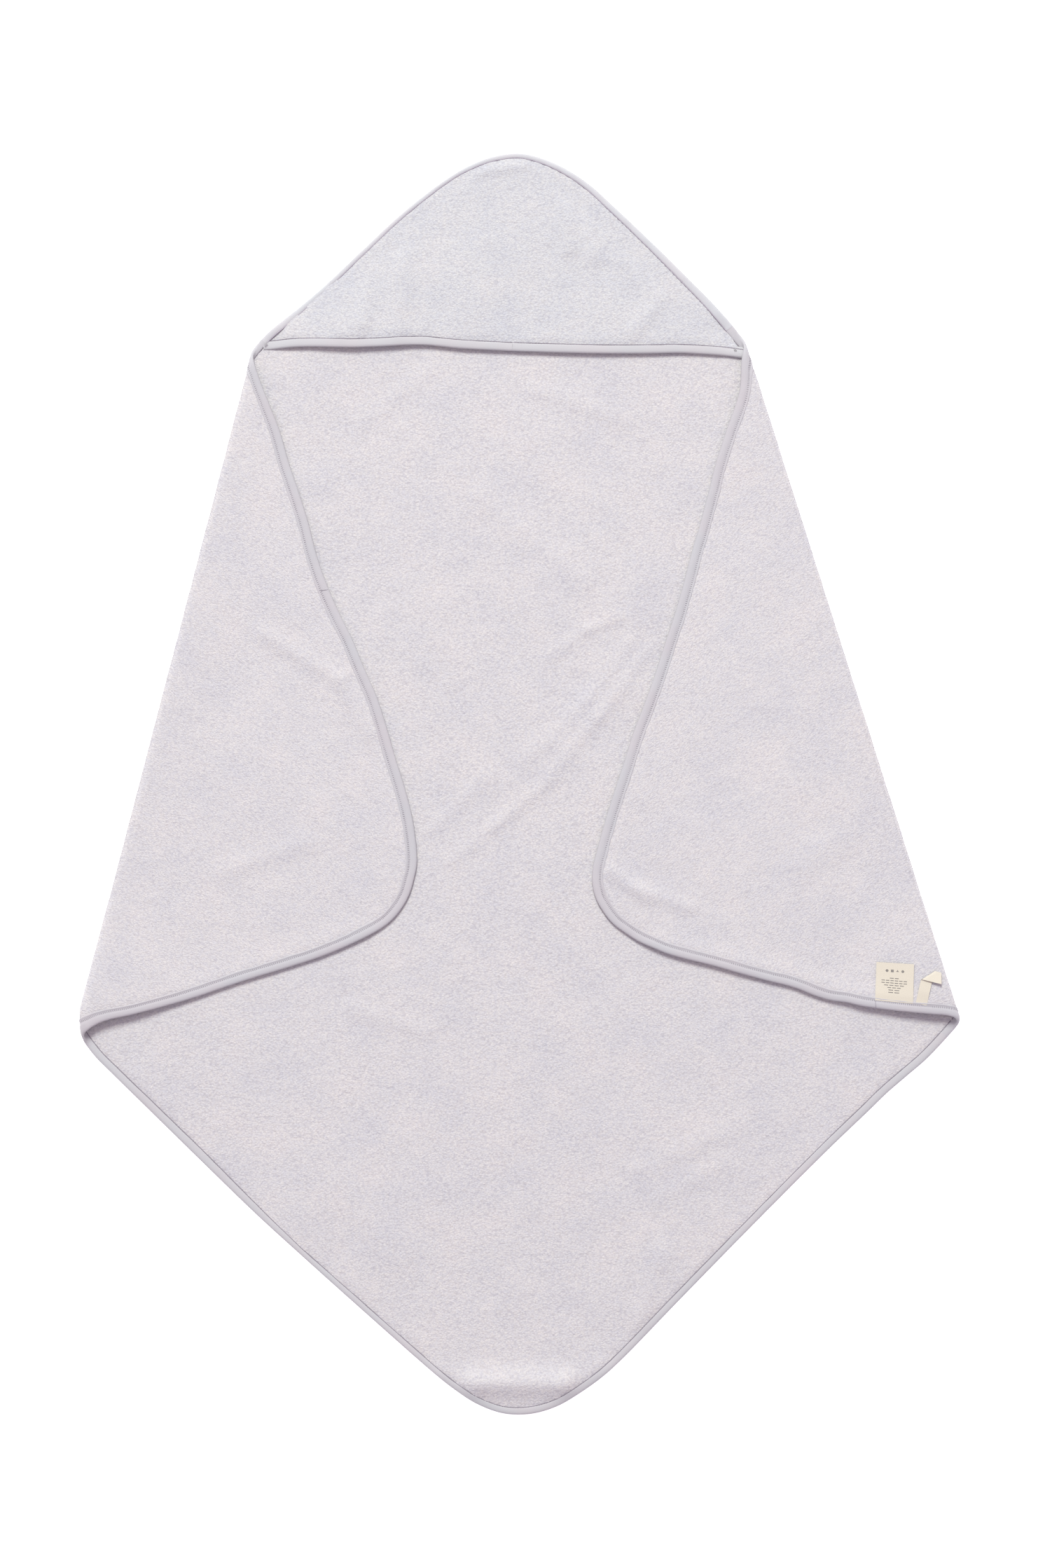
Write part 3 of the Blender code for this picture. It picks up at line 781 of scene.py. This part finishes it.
def satin_material():
    """Woven label ribbon: a very fine rib and a soft gloss."""
    n = Nodes("label_satin")
    rib = n.wave(n.cloth(), scale=900.0, distortion=0.4)
    weave = n.noise(n.cloth(), 1300.0)
    height = n.math("ADD", n.math("MULTIPLY", rib, 0.6), n.math("MULTIPLY", weave, 0.5))
    tone = n.ramp(weave, (0.3, shade(LABEL_COLOUR, 0.96)), (0.7, shade(LABEL_COLOUR, 1.03)))
    return n.finish(tone, height, strength=0.2, distance=0.08, roughness=0.5, sheen=0.1)


def print_material():
    n = Nodes("label_print")
    worn = n.noise(n.cloth(), 2600.0)
    tone = n.ramp(worn, (0.35, (0.16, 0.15, 0.14)), (0.7, (0.36, 0.34, 0.30)))
    return n.finish(tone, roughness=0.7)


def floor_material():
    n = Nodes("studio_floor")
    place = n.add("TexCoord").outputs["Object"]
    tone = n.ramp(n.noise(place, 3.0), (0.3, (0.93, 0.93, 0.93)), (0.7, (0.95, 0.95, 0.95)))
    n.shader.inputs["Emission Color"].default_value = (1.0, 1.0, 1.0, 1.0)
    n.shader.inputs["Emission Strength"].default_value = 0.60
    return n.finish(tone, roughness=0.8)


TERRY = terry_material("terry_face", TERRY_COLOUR, 1.25, 0.4)
TERRY_REVERSE = terry_material("terry_reverse", shade(TERRY_COLOUR, 1.015), 1.7, 0.9)
TERRY_HOOD = terry_material("terry_hood", HOOD_COLOUR, 1.4, 0.6)
JERSEY = jersey_material("jersey_binding", JERSEY_COLOUR)
# Painted light and painted shade: a lighter and a darker copy of the same binding tape.
HOOD_JERSEY_PAINTED_LIGHT = jersey_material("jersey_hood_painted_light", HOOD_JERSEY_PAINTED_LIGHT_COLOUR)
FLAP_JERSEY_PAINTED_SHADE = jersey_material("jersey_flaps_painted_shade", FLAP_JERSEY_PAINTED_SHADE_COLOUR)
# These thread colours hold painted shade of their stitch grooves. The hood edge's copy is lighter, with
# less painted shade.
SEAM_THREAD_AND_SHADE = thread_material("seam_thread_and_shade", THREAD_AND_SHADE_COLOUR)
HOOD_THREAD_AND_SHADE = thread_material("hood_seam_thread_and_shade", shade(THREAD_AND_SHADE_COLOUR, 1.5))
COVER_THREAD_AND_SHADE = thread_material("cover_thread_and_shade", COVER_THREAD_AND_SHADE_COLOUR)
TACK_THREAD = thread_material("tack_thread", shade(JERSEY_COLOUR, 0.95))
SATIN = satin_material()
PRINT = print_material()


def dress(obj, material, slot, *nodes):
    """Gives a piece its material and hides the CAD nodes it stands for."""
    obj.data.materials.append(material)
    if nodes:
        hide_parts(*nodes)
    return obj


# -------- bindings and their stitches

# Sections across a binding: (inwards from its outer edge, height over the cloth's middle), in
# millimetres, from the face round the outer edge to the reverse. The face ends in a clean lip. The
# reverse is wider, with a valley for the cover stitches and a small ridge beyond them.
REVERSE = (
    (4.2, -1.80), (5.6, -1.62), (6.2, -1.40), (8.2, -1.40), (8.6, -1.68), (9.2, -1.84), (9.8, -1.62),
    (10.1, -0.95), (9.6, -0.30),
)
SLIM = (
    (8.2, 0.20), (7.95, 0.60), (7.6, 1.12), (7.2, 1.42), (6.0, 1.62), (4.2, 1.74), (2.4, 1.70),
    (1.1, 1.42), (0.35, 0.85), (0.0, 0.0), (0.35, -0.85), (1.1, -1.42), (2.4, -1.72), *REVERSE,
)
# The binding of the hood's sewn sides holds two cloths, so it is deeper. Heights are over the floor
# cloth's middle.
DEEP = (
    (8.2, 3.5), (7.95, 4.0), (7.6, 4.5), (7.1, 4.8), (6.0, 5.0), (4.2, 5.1), (2.5, 4.95),
    (1.2, 4.5), (0.4, 3.7), (0.0, 2.2), (0.2, 0.4), (0.7, -0.85), (1.5, -1.42), (3.0, -1.55),
    (5.6, -1.5), (6.2, -1.35), (8.2, -1.35), (8.6, -1.5), (9.2, -1.55), (9.8, -1.4),
    (10.1, -0.8), (9.6, 1.0),
)
# The same binding where the hood's edge ends and the binding turns over with the side corner.
CORNER = (
    (8.2, 1.6), (7.95, 2.1), (7.6, 2.5), (7.2, 2.75), (6.0, 2.95), (4.2, 3.0), (2.4, 2.9),
    (1.1, 2.5), (0.35, 1.8), (0.0, 0.6), (0.35, -0.5), (1.1, -1.3), (2.4, -1.68), *REVERSE,
)
SEAM_INWARD = 7.75 * MM
SEAM_HEIGHT = 1.10 * MM
SEAM_STITCH = 2.6 * MM  # from one dip of the seam's thread to the next
COVER_HEIGHT = -1.42 * MM
COVER_PITCH = 1.75 * MM
COVER_BOW = mm((-0.30, 0.0, 0.08, 0.0, -0.30))  # how a cover stitch bends into the cloth


def at(line, inward, height):
    """A line in the pattern's space, this far inwards from an edge and at this height."""
    flat = line + left_normals(line) * np.reshape(inward, (-1, 1))
    return np.column_stack([flat, np.broadcast_to(height, (len(flat),))])


def seam_line(name, line, lie, shows, height=SEAM_HEIGHT, ends=SEAM_HEIGHT):
    """The clean stitch line of a binding's face: a thread that dips at each stitch.

    ends is its height at both ends.
    """
    fine = even(line, 0.9 * MM)
    along = arc(fine)
    height = ends + (height - ends) * smooth(np.minimum(along, along[-1] - along) / TAPE_CHANGE)
    dips = height + 0.10 * MM * np.cos(along / SEAM_STITCH * 2 * math.pi)
    return threads(name, [at(fine, SEAM_INWARD * shows(fine), dips)], 0.46 * MM, lie)


def cover_stitches(name, line, height, lie, shows, seed):
    """The short threads that cross the binding's reverse, close together."""
    rng = np.random.default_rng(seed)
    fine = even(line, COVER_PITCH)
    normals = left_normals(fine)
    tangents = np.column_stack([normals[:, 1], -normals[:, 0]])
    normals = normals * shows(fine)[:, None]
    lines = []
    for spot, normal, tangent in zip(fine[1:-1], normals[1:-1], tangents[1:-1]):
        low, high = 5.9 + rng.uniform(-0.15, 0.15), 8.35 + rng.uniform(-0.15, 0.15)
        slant = rng.uniform(-0.12, 0.12) + 0.12
        inward = np.linspace(low, high, 5) * MM
        flat = spot + inward[:, None] * normal + ((inward - 7 * MM) * slant)[:, None] * tangent
        lines.append(np.column_stack([flat, height - COVER_BOW]))
    return threads(name, lines, 0.26 * MM, lie)


# -------- the hood

HOOD_SEAM = 3.2 * MM  # from the towel's middle to the hood's along its sewn sides
HOOD_PINCH = 2.6 * MM  # how much closer they are at the hood's corners
HOOD_RISE = 2.1 * MM
HOOD_PUFF = 2.2 * MM  # more of it towards the left end of the front edge
HOOD_FRONT_Y = 0.388
HOOD_BACK_Y = 0.560
HOOD_CENTRE_X = -0.012
HOOD_HALF_WIDTH = 0.205
HOOD_FRONT_LINE = spline(mm(HOOD_FRONT), EDGE_STEP)
# Where the hood's halves meet: on its front edge and at its tip.
FRONT_SPLIT = np.array([-0.0076, 0.3860])
TIP_SPLIT = np.array([-0.0030, 0.5628])
SPARE = 4  # edge points between the hood's sides and the ends of its front edge
SIDES_MEET = np.array([-0.0027, 0.6026])  # where the lines of the hood's two sides would cross
LIFTS = (0.012, 0.165)  # how far from a sewn side the hood would start to lift, and would lift fully


def hood_middle(place):
    """Height of the hood's middle: it stands open along its front edge."""
    x, y = place.T
    back = np.clip((HOOD_BACK_Y - y) / (HOOD_BACK_Y - HOOD_FRONT_Y), 0, 1.05)
    half = HOOD_HALF_WIDTH * np.clip(back, 0.05, 1) + 0.012
    across = np.clip(np.abs(x - HOOD_CENTRE_X) / half, 0, 1)
    dome = HOOD_RISE * (1 - across**2) ** 0.8 * back**1.1
    dome += HOOD_PUFF * np.exp(-(((x + 0.155) / 0.055) ** 2)) * back**3
    slow = 0.5 + 0.5 * noise(place, 60 * MM, 31)
    open_part = smooth((1 - across) * 3) * smooth(back / 0.08)
    corner = np.minimum(
        np.linalg.norm(place - TOWEL_EDGE[LEFT_TURN], axis=1),
        np.linalg.norm(place - TOWEL_EDGE[RIGHT_TURN], axis=1),
    )
    seam = HOOD_SEAM - HOOD_PINCH * (1 - smooth((corner - 6 * MM) / (22 * MM)))
    return base_middle(place) + seam + dome + open_part * (0.9 * MM * slow + ridges(place, HOOD_RIDGES))


def lie_hood(place, height):
    return np.column_stack([place, hood_middle(place) + height])


def split_line(y):
    """The middle of the hood, equally far from both sewn sides."""
    return np.interp(y, [FRONT_SPLIT[1], TIP_SPLIT[1]], [FRONT_SPLIT[0], TIP_SPLIT[0]])


def hood_halves():
    """For the hood's left and right half: its outline with its bound segments, and its front edge."""
    front = HOOD_FRONT_LINE.copy()
    edge = piece_of_edge(RIGHT_TURN, LEFT_TURN).copy()
    split = int(np.abs(front[:, 0] - FRONT_SPLIT[0]).argmin())
    tip = int(np.linalg.norm(edge - TIP_SPLIT, axis=1).argmin())
    front[split, 0] = split_line(front[split, 1])
    edge[tip, 0] = split_line(edge[tip, 1])
    front_left, front_right = front[: split + 1], front[split:]
    right_side, left_side = edge[SPARE : tip + 1], edge[tip:-SPARE]
    y = np.linspace(front[split, 1], edge[tip, 1], 60)
    middle = np.column_stack([split_line(y), y])
    middle[0], middle[-1] = front[split], edge[tip]
    left_end = np.array([left_side[-1], front_left[0]])
    right_end = np.array([front_right[-1], right_side[0]])
    left = closed_outline((front_left, True), (middle, False), (left_side, True), (left_end, True))
    right = closed_outline(
        (front_right, True), (right_end, True), (right_side, True), (middle[::-1], False)
    )
    return (left, front_left), (right, front_right)


def blend_hood(obj, side):
    """Bakes the piece's placement into its mesh, and works out where the hood would start to lift from a
    sewn side and lift fully.
    """
    corner = LEFT.top if side == "left" else RIGHT.top
    run = (SIDES_MEET - corner) / np.linalg.norm(SIDES_MEET - corner)
    inward = np.array([run[1], -run[0]]) if side == "left" else np.array([-run[1], run[0]])
    start, end = (corner + inward * gap for gap in LIFTS)
    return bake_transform(obj, "towel", "hood", start=(*start, 0.0), end=(*end, 0.0))


# -------- building the towel

LUMPS = 0.30 * MM  # height of the pile's unevenness
HOOD_LUMPS = 0.28 * MM
# The run of each flap's edge that has cover stitches, counted in edge points.
COVERED = {"left": slice(6, -13), "right": slice(10, -6)}
# Where each flap's tape is joined: a place on its outer edge and one on its inner.
JOINS = {"left": ((-171.4, 173.4), (-180.6, 172.6)), "right": ((316.8, -200.2), (316.2, -192.4))}
# It lies just over the reverse of the tape: places inwards and heights, in millimetres.
JOIN_SECTION = (0.3, 1.1, 2.4, 4.2, 5.6, 6.2, 8.0), (-0.9, -1.48, -1.78, -1.84, -1.66, -1.46, -1.44)
# The bar tacks at the ends of the hood's front edge: centre and direction.
TACKS = {"left": ((-0.2275, 0.3930), (0.74, 0.67)), "right": ((0.1915, 0.3870), (-0.25, 0.97))}
TACK_PITCH = 0.45 * MM
TACK_REACH = 1.2 * MM


def blend_corner(obj):
    """Bakes the piece's placement into its mesh."""
    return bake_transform(obj)


def flat_area(outline):
    x, y = outline.T
    return 0.5 * abs(float((x * np.roll(y, -1) - y * np.roll(x, -1)).sum()))


def declare(obj, outline, held, rests_on, *pieces):
    """Works out the area of a sheet's pattern."""
    flat_area(outline)


def make_main():
    left = strip_between(LEFT, TOWEL_EDGE[LEFT_HOOD_CUT], TOWEL_EDGE[LEFT_TIP_CUT])
    right = strip_between(RIGHT, TOWEL_EDGE[RIGHT_TIP_CUT], TOWEL_EDGE[RIGHT_HOOD_CUT])
    top = piece_of_edge(RIGHT_HOOD_CUT, LEFT_HOOD_CUT)
    bottom = piece_of_edge(LEFT_TIP_CUT, RIGHT_TIP_CUT)
    outline, bound = closed_outline((top, True), (left, False), (bottom, True), (right, False))
    cloth = woven("towel_cloth", outline, bound, lie_base, shows_main, math.radians(45), LUMPS, 100)
    dress(cloth, TERRY, "terry", "centre_panel", "bottom_corner_panel")
    tape = swept("bottom_edge_binding", bottom, SLIM, lie_base, shows_main, 11)
    dress(tape, JERSEY, "binding", "bottom_binding", "left_tip_binding", "right_tip_binding")
    seam = seam_line("bottom_edge_seam", bottom, lie_base, shows_main)
    dress(seam, SEAM_THREAD_AND_SHADE, "thread", "bottom_stitching")
    back = cover_stitches("bottom_edge_stitches", bottom, COVER_HEIGHT, lie_base, shows_main, 5)
    dress(back, COVER_THREAD_AND_SHADE, "thread")
    for piece in (cloth, tape, seam, back):
        blend_corner(piece)
    hood_pieces = make_hood_edge()
    declare(cloth, outline, "laid", [], tape, seam, back, *hood_pieces)


def make_hood_edge():
    """The binding that takes in the towel's top corner and the hood's two sewn sides."""
    edge = piece_of_edge(RIGHT_TURN, LEFT_TURN)
    tape = swept("hood_edge_tape", edge, DEEP, lie_base, shows_main, 12, CORNER, CORNER)
    # This tape is painted lighter than the rest of the binding: painted light.
    dress(tape, HOOD_JERSEY_PAINTED_LIGHT, "binding", "hood_edge_binding")
    seam = seam_line("hood_edge_seam", edge, lie_base, shows_main, 4.65 * MM, ends=2.35 * MM)
    dress(seam, HOOD_THREAD_AND_SHADE, "thread", "hood_edge_stitching")
    back = cover_stitches("hood_edge_stitches", edge, -1.40 * MM, lie_base, shows_main, 6)
    dress(back, COVER_THREAD_AND_SHADE, "thread")
    for piece in (tape, seam, back):
        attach(piece, "towel")
    return tape, seam, back


def make_flap(side, fold, shows, first, last, turn_first, turn_last):
    """first and last are the ends of the flap's edge, turn_first and turn_last of its binding."""
    edge = piece_of_edge(first, last)
    bound_edge = piece_of_edge(turn_first, turn_last)
    joining = strip_between(fold, edge[-1], edge[0])
    outline, bound = closed_outline((edge, True), (joining, False))
    turn = math.atan2(fold.along[1], fold.along[0])
    flap = side + "_flap"
    ends = (CORNER, None) if side == "left" else (None, CORNER)
    cloth = woven(flap + "_cloth", outline, bound, fold.lie, shows, turn, LUMPS, fold.seed * 10)
    dress(cloth, TERRY_REVERSE, "terry", flap + "_panel", side + "_fold_roll")
    tape = swept(flap + "_tape", bound_edge, SLIM, fold.lie, shows, fold.seed, *ends)
    # This tape is painted darker than the rest of the binding: painted shade.
    dress(tape, FLAP_JERSEY_PAINTED_SHADE, "binding", flap + "_binding")
    covered = bound_edge[COVERED[side]]
    back = cover_stitches(flap + "_stitches", covered, COVER_HEIGHT, fold.lie, shows, fold.seed)
    dress(back, COVER_THREAD_AND_SHADE, "thread", flap + "_stitching")
    seam = seam_line(flap + "_seam", bound_edge, fold.lie, shows)
    dress(seam, SEAM_THREAD_AND_SHADE, "thread")
    pieces = [tape, back, seam, make_join(side + "_tape_join", fold, *JOINS[side])]
    for piece in [cloth] + pieces:
        fold.blend(piece, flap)
    declare(cloth, outline, "folded", ["towel_cloth"], *pieces)


def make_join(name, fold, outer, inner):
    """A short seam across a flap's tape, where two lengths of it meet."""
    start, stop = fold.unfold([outer, inner])
    inward = np.linspace(0.3, 8.0, 12)
    height = np.interp(inward, *JOIN_SECTION)
    flat = start + (inward / inward[-1])[:, None] * (stop - start)
    join = threads(name, [np.column_stack([flat, height * MM])], 0.28 * MM, fold.lie)
    return dress(join, COVER_THREAD_AND_SHADE, "thread")


def make_hood():
    for side, ((outline, bound), front) in zip(("left", "right"), hood_halves()):
        # The hood is one piece in CAD, and its left half stands for all of it.
        nodes = ("hood_panel", "hood_front_binding", "hood_front_stitching") if side == "left" else ()
        cloth = woven(side + "_hood_cloth", outline, bound, lie_hood, shows_hood, 0.0, HOOD_LUMPS, 400)
        dress(cloth, TERRY_HOOD, "terry", *nodes[:1])
        tape = swept(side + "_hood_front_tape", front, SLIM, lie_hood, full_width, 14)
        dress(tape, JERSEY, "binding", *nodes[1:2])
        seam = seam_line(side + "_hood_front_seam", front, lie_hood, full_width)
        dress(seam, SEAM_THREAD_AND_SHADE, "thread", *nodes[2:])
        for piece in (cloth, tape, seam):
            blend_hood(piece, side)
        declare(cloth, outline, "laid", ["towel_cloth"], tape, seam)


def make_bar_tacks():
    """A dense little row of threads over each end of the hood's front edge."""
    for side, (centre, direction) in TACKS.items():
        run = np.array(direction) / np.linalg.norm(direction)
        cross = np.array([-run[1], run[0]])
        reach = np.linspace(-TACK_REACH, TACK_REACH, 6)
        height = (5.2 - 0.10 * (reach / TACK_REACH) ** 4) * MM
        lines = []
        for k in range(-3, 4):
            spot = np.array(centre) + run * k * TACK_PITCH
            flat = spot + reach[:, None] * cross + (reach * 0.05)[:, None] * run
            lines.append(np.column_stack([flat, height]))
        tack = threads(side + "_tack_threads", lines, 0.18 * MM, lie_base)
        dress(tack, TACK_THREAD, "thread", side + "_bar_tack")
        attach(tack, "towel")


# -------- labels

LABEL_CORNERS = ((315.9, -192.7), (349.7, -195.7), (350.5, -160.6), (317.2, -158.6))
LABEL_SIZE = (34.4, 36.0)
LABEL_THICK = 0.35 * MM
MARK_SIDES = (8, 4, 3, 8)  # the plain shapes in the label's top row
BAR_ROWS = (9, 24, 24, 19, 13, 11, 11)  # widths of the rows of bars below them, in millimetres
RIBBON_START = np.array([352.0, -195.2])
RIBBON_FOLD = np.array([[355.6, -175.6], [368.4, -167.6]])
RIBBON_WIDTH = 10.0
RIBBON_LEAN = math.radians(77.5)
RIBBON_ROLL = 0.55  # radius of its fold
RIBBON_THICK = 0.30 * MM


def shares(columns, rows):
    """The points of a grid, by their shares across and up it."""
    x, y = np.meshgrid(np.linspace(0, 1, columns + 1), np.linspace(0, 1, rows + 1))
    return x.ravel(), y.ravel()


def on_label(x, y):
    """Places on the label, by their shares across and up it."""
    a, b, c, d = mm(LABEL_CORNERS)
    x, y = x[:, None], y[:, None]
    return (a * (1 - x) + b * x) * (1 - y) + (d * (1 - x) + c * x) * y


def label_level(place, x, y):
    """Height of the label's middle: it curls up a little towards its free end."""
    curl = 0.9 * MM * y**2 + 0.5 * MM * (2 * x - 1) ** 2 * y + 0.25 * MM * np.sin(5 * x) * y
    return RIGHT.top_side(place) + curl + 0.5 * MM * (smooth(y * 5) - 0.25)


def patch(name, place, level, thickness, columns, rows, cloth):
    """A thin closed sheet from a grid of places and heights."""
    top = np.column_stack([place, level + thickness / 2])
    low = np.column_stack([place, level - thickness / 2])
    n = (columns + 1) * (rows + 1)
    index = np.arange(n).reshape(rows + 1, columns + 1)
    cells = np.stack([index[:-1, :-1], index[:-1, 1:], index[1:, 1:], index[1:, :-1]], -1).reshape(-1, 4)
    rim = np.concatenate([index[0, :-1], index[:-1, -1], index[-1, :0:-1], index[:0:-1, 0]])
    following = np.roll(rim, -1)
    walls = np.column_stack([following, rim, rim + n, following + n])
    faces = np.vstack([cells, cells[:, ::-1] + n, walls]).tolist()
    return new_mesh(name, np.vstack([top, low]), faces, np.vstack([cloth, cloth]), crease=50.0)


def label_rings():
    """Outlines of the label's printed marks, in millimetres from its lower left corner."""
    rings = []

    def mark(left, bottom, width, height, turn=0.0, sides=4):
        turns = turn + np.arange(sides) * 2 * math.pi / sides + math.pi / sides
        ring = np.column_stack([np.cos(turns), np.sin(turns)])
        ring /= np.abs(ring).max(0)
        rings.append(np.array([left + width / 2, bottom + height / 2]) + ring * (width / 2, height / 2))

    for k, sides in enumerate(MARK_SIDES):
        mark(8.6 + 4.8 * k, 27.4, 2.6, 2.4, math.pi / 6 if sides == 3 else 0.0, sides)
    for row, width in enumerate(BAR_ROWS):
        bars = max(2, width // 4)
        length = width / bars
        for bar in range(bars):
            mark(LABEL_SIZE[0] / 2 - width / 2 + bar * length, 21.4 - row * 2.2, length * 0.78, 0.75)
    return rings


def label_marks():
    """The printed marks, a hair over the label."""
    points, faces, cloth, first = [], [], [], 0
    for ring in label_rings():
        x, y = (ring / LABEL_SIZE).T
        flat = on_label(x, y)
        level = label_level(flat, x, y) + LABEL_THICK / 2
        points.append(np.column_stack([flat, level + 0.05 * MM]))
        points.append(np.column_stack([flat, level - 0.06 * MM]))
        faces += tube_faces(2, len(ring), first)
        cloth += [flat, flat]
        first += 2 * len(ring)
    return new_mesh("label_marks", np.vstack(points), faces, np.vstack(cloth), crease=30.0)


def blend_label(joint, body, *pieces):
    for piece in pieces:
        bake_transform(piece)


def make_label():
    columns, rows = 20, 22
    x, y = shares(columns, rows)
    place = on_label(x, y)
    level = label_level(place, x, y)
    label = patch("label_sheet", place, level, LABEL_THICK, columns, rows, place - place.min(0))
    dress(label, SATIN, "label_satin", "care_label")
    marks = dress(label_marks(), PRINT, "label_satin")
    blend_label("care_label_flip", "label", label, marks)


def make_ribbon():
    """A ribbon sewn in at its end, rising and folded over to the right."""
    along = np.array([math.cos(RIBBON_LEAN), math.sin(RIBBON_LEAN)])
    across = np.array([along[1], -along[0]])
    a, b = RIBBON_FOLD
    fold = (b - a) / np.linalg.norm(b - a)
    normal = np.array([-fold[1], fold[0]])
    columns, rows = 8, 44
    u, v = shares(columns, rows)
    u = u * RIBBON_WIDTH
    length = 40.4 - 0.25 * u
    flat = RIBBON_START + u[:, None] * across + (v * length)[:, None] * along
    past = (flat - a) @ normal
    angle = np.clip(past / RIBBON_ROLL, 0, math.pi)
    over = np.clip(past - math.pi * RIBBON_ROLL, 0, None)
    beyond = np.where(past > 0, RIBBON_ROLL * np.sin(angle) - over, past)
    place = (flat + (beyond - past)[:, None] * normal) * MM
    lift = RIBBON_ROLL * (1 - np.cos(angle)) + 0.10 * over + 0.0015 * over**2
    level = RIGHT.top_side(place) + lift * MM + 1.1 * MM * smooth(v * 3) - 0.15 * MM
    ribbon = patch("ribbon_sheet", place, level, RIBBON_THICK, columns, rows, flat * MM)
    dress(ribbon, SATIN, "ribbon_satin", "ribbon_tab")
    blend_label("ribbon_tab_flip", "ribbon", ribbon)


# -------- studio

FLOOR_SIZE = 60.0
FLOOR_LEVEL = -0.3 * MM
KEY_PLACE = (-1.1, 6.2, 7.2)
CAMERA_HEIGHT = 5.0
VIEW_LENGTH = 1.4008  # how much of the floor the picture's long side takes in
SENSOR = 36.0


def make_studio():
    scene = bpy.context.scene
    bpy.ops.mesh.primitive_plane_add(size=FLOOR_SIZE, location=(0, 0, FLOOR_LEVEL))
    floor = bpy.context.object
    floor.name = "studio_floor"
    floor.data.materials.append(floor_material())
    world = bpy.data.worlds.new("studio")
    world.use_nodes = True
    background = world.node_tree.nodes["Background"]
    background.inputs["Color"].default_value = (1.01, 0.885, 1.03, 1.0)
    background.inputs["Strength"].default_value = 0.60
    scene.world = world
    light = bpy.data.objects.new("key", bpy.data.lights.new("key", "AREA"))
    light.data.size = 3.2
    light.data.energy = 860.0
    light.data.color = (1.0, 1.05, 1.0)
    light.location = KEY_PLACE
    light.rotation_euler = (-Vector(KEY_PLACE)).to_track_quat("-Z", "Y").to_euler()
    scene.collection.objects.link(light)
    camera = bpy.data.objects.new("camera", bpy.data.cameras.new("camera"))
    camera.data.sensor_width = SENSOR
    camera.data.lens = SENSOR * CAMERA_HEIGHT / VIEW_LENGTH
    camera.location = (0.0016, 0.0, CAMERA_HEIGHT)
    camera.data.clip_end = 50.0
    scene.collection.objects.link(camera)
    scene.camera = camera
    scene.view_settings.view_transform = "Standard"


make_studio()
make_main()
make_flap("left", LEFT, shows_left, LEFT_HOOD_CUT, LEFT_TIP_CUT, LEFT_TURN, LEFT_TIP_CUT)
make_flap("right", RIGHT, shows_right, RIGHT_TIP_CUT, RIGHT_HOOD_CUT, RIGHT_TIP_CUT, RIGHT_TURN)
make_hood()
make_bar_tacks()
make_label()
make_ribbon()
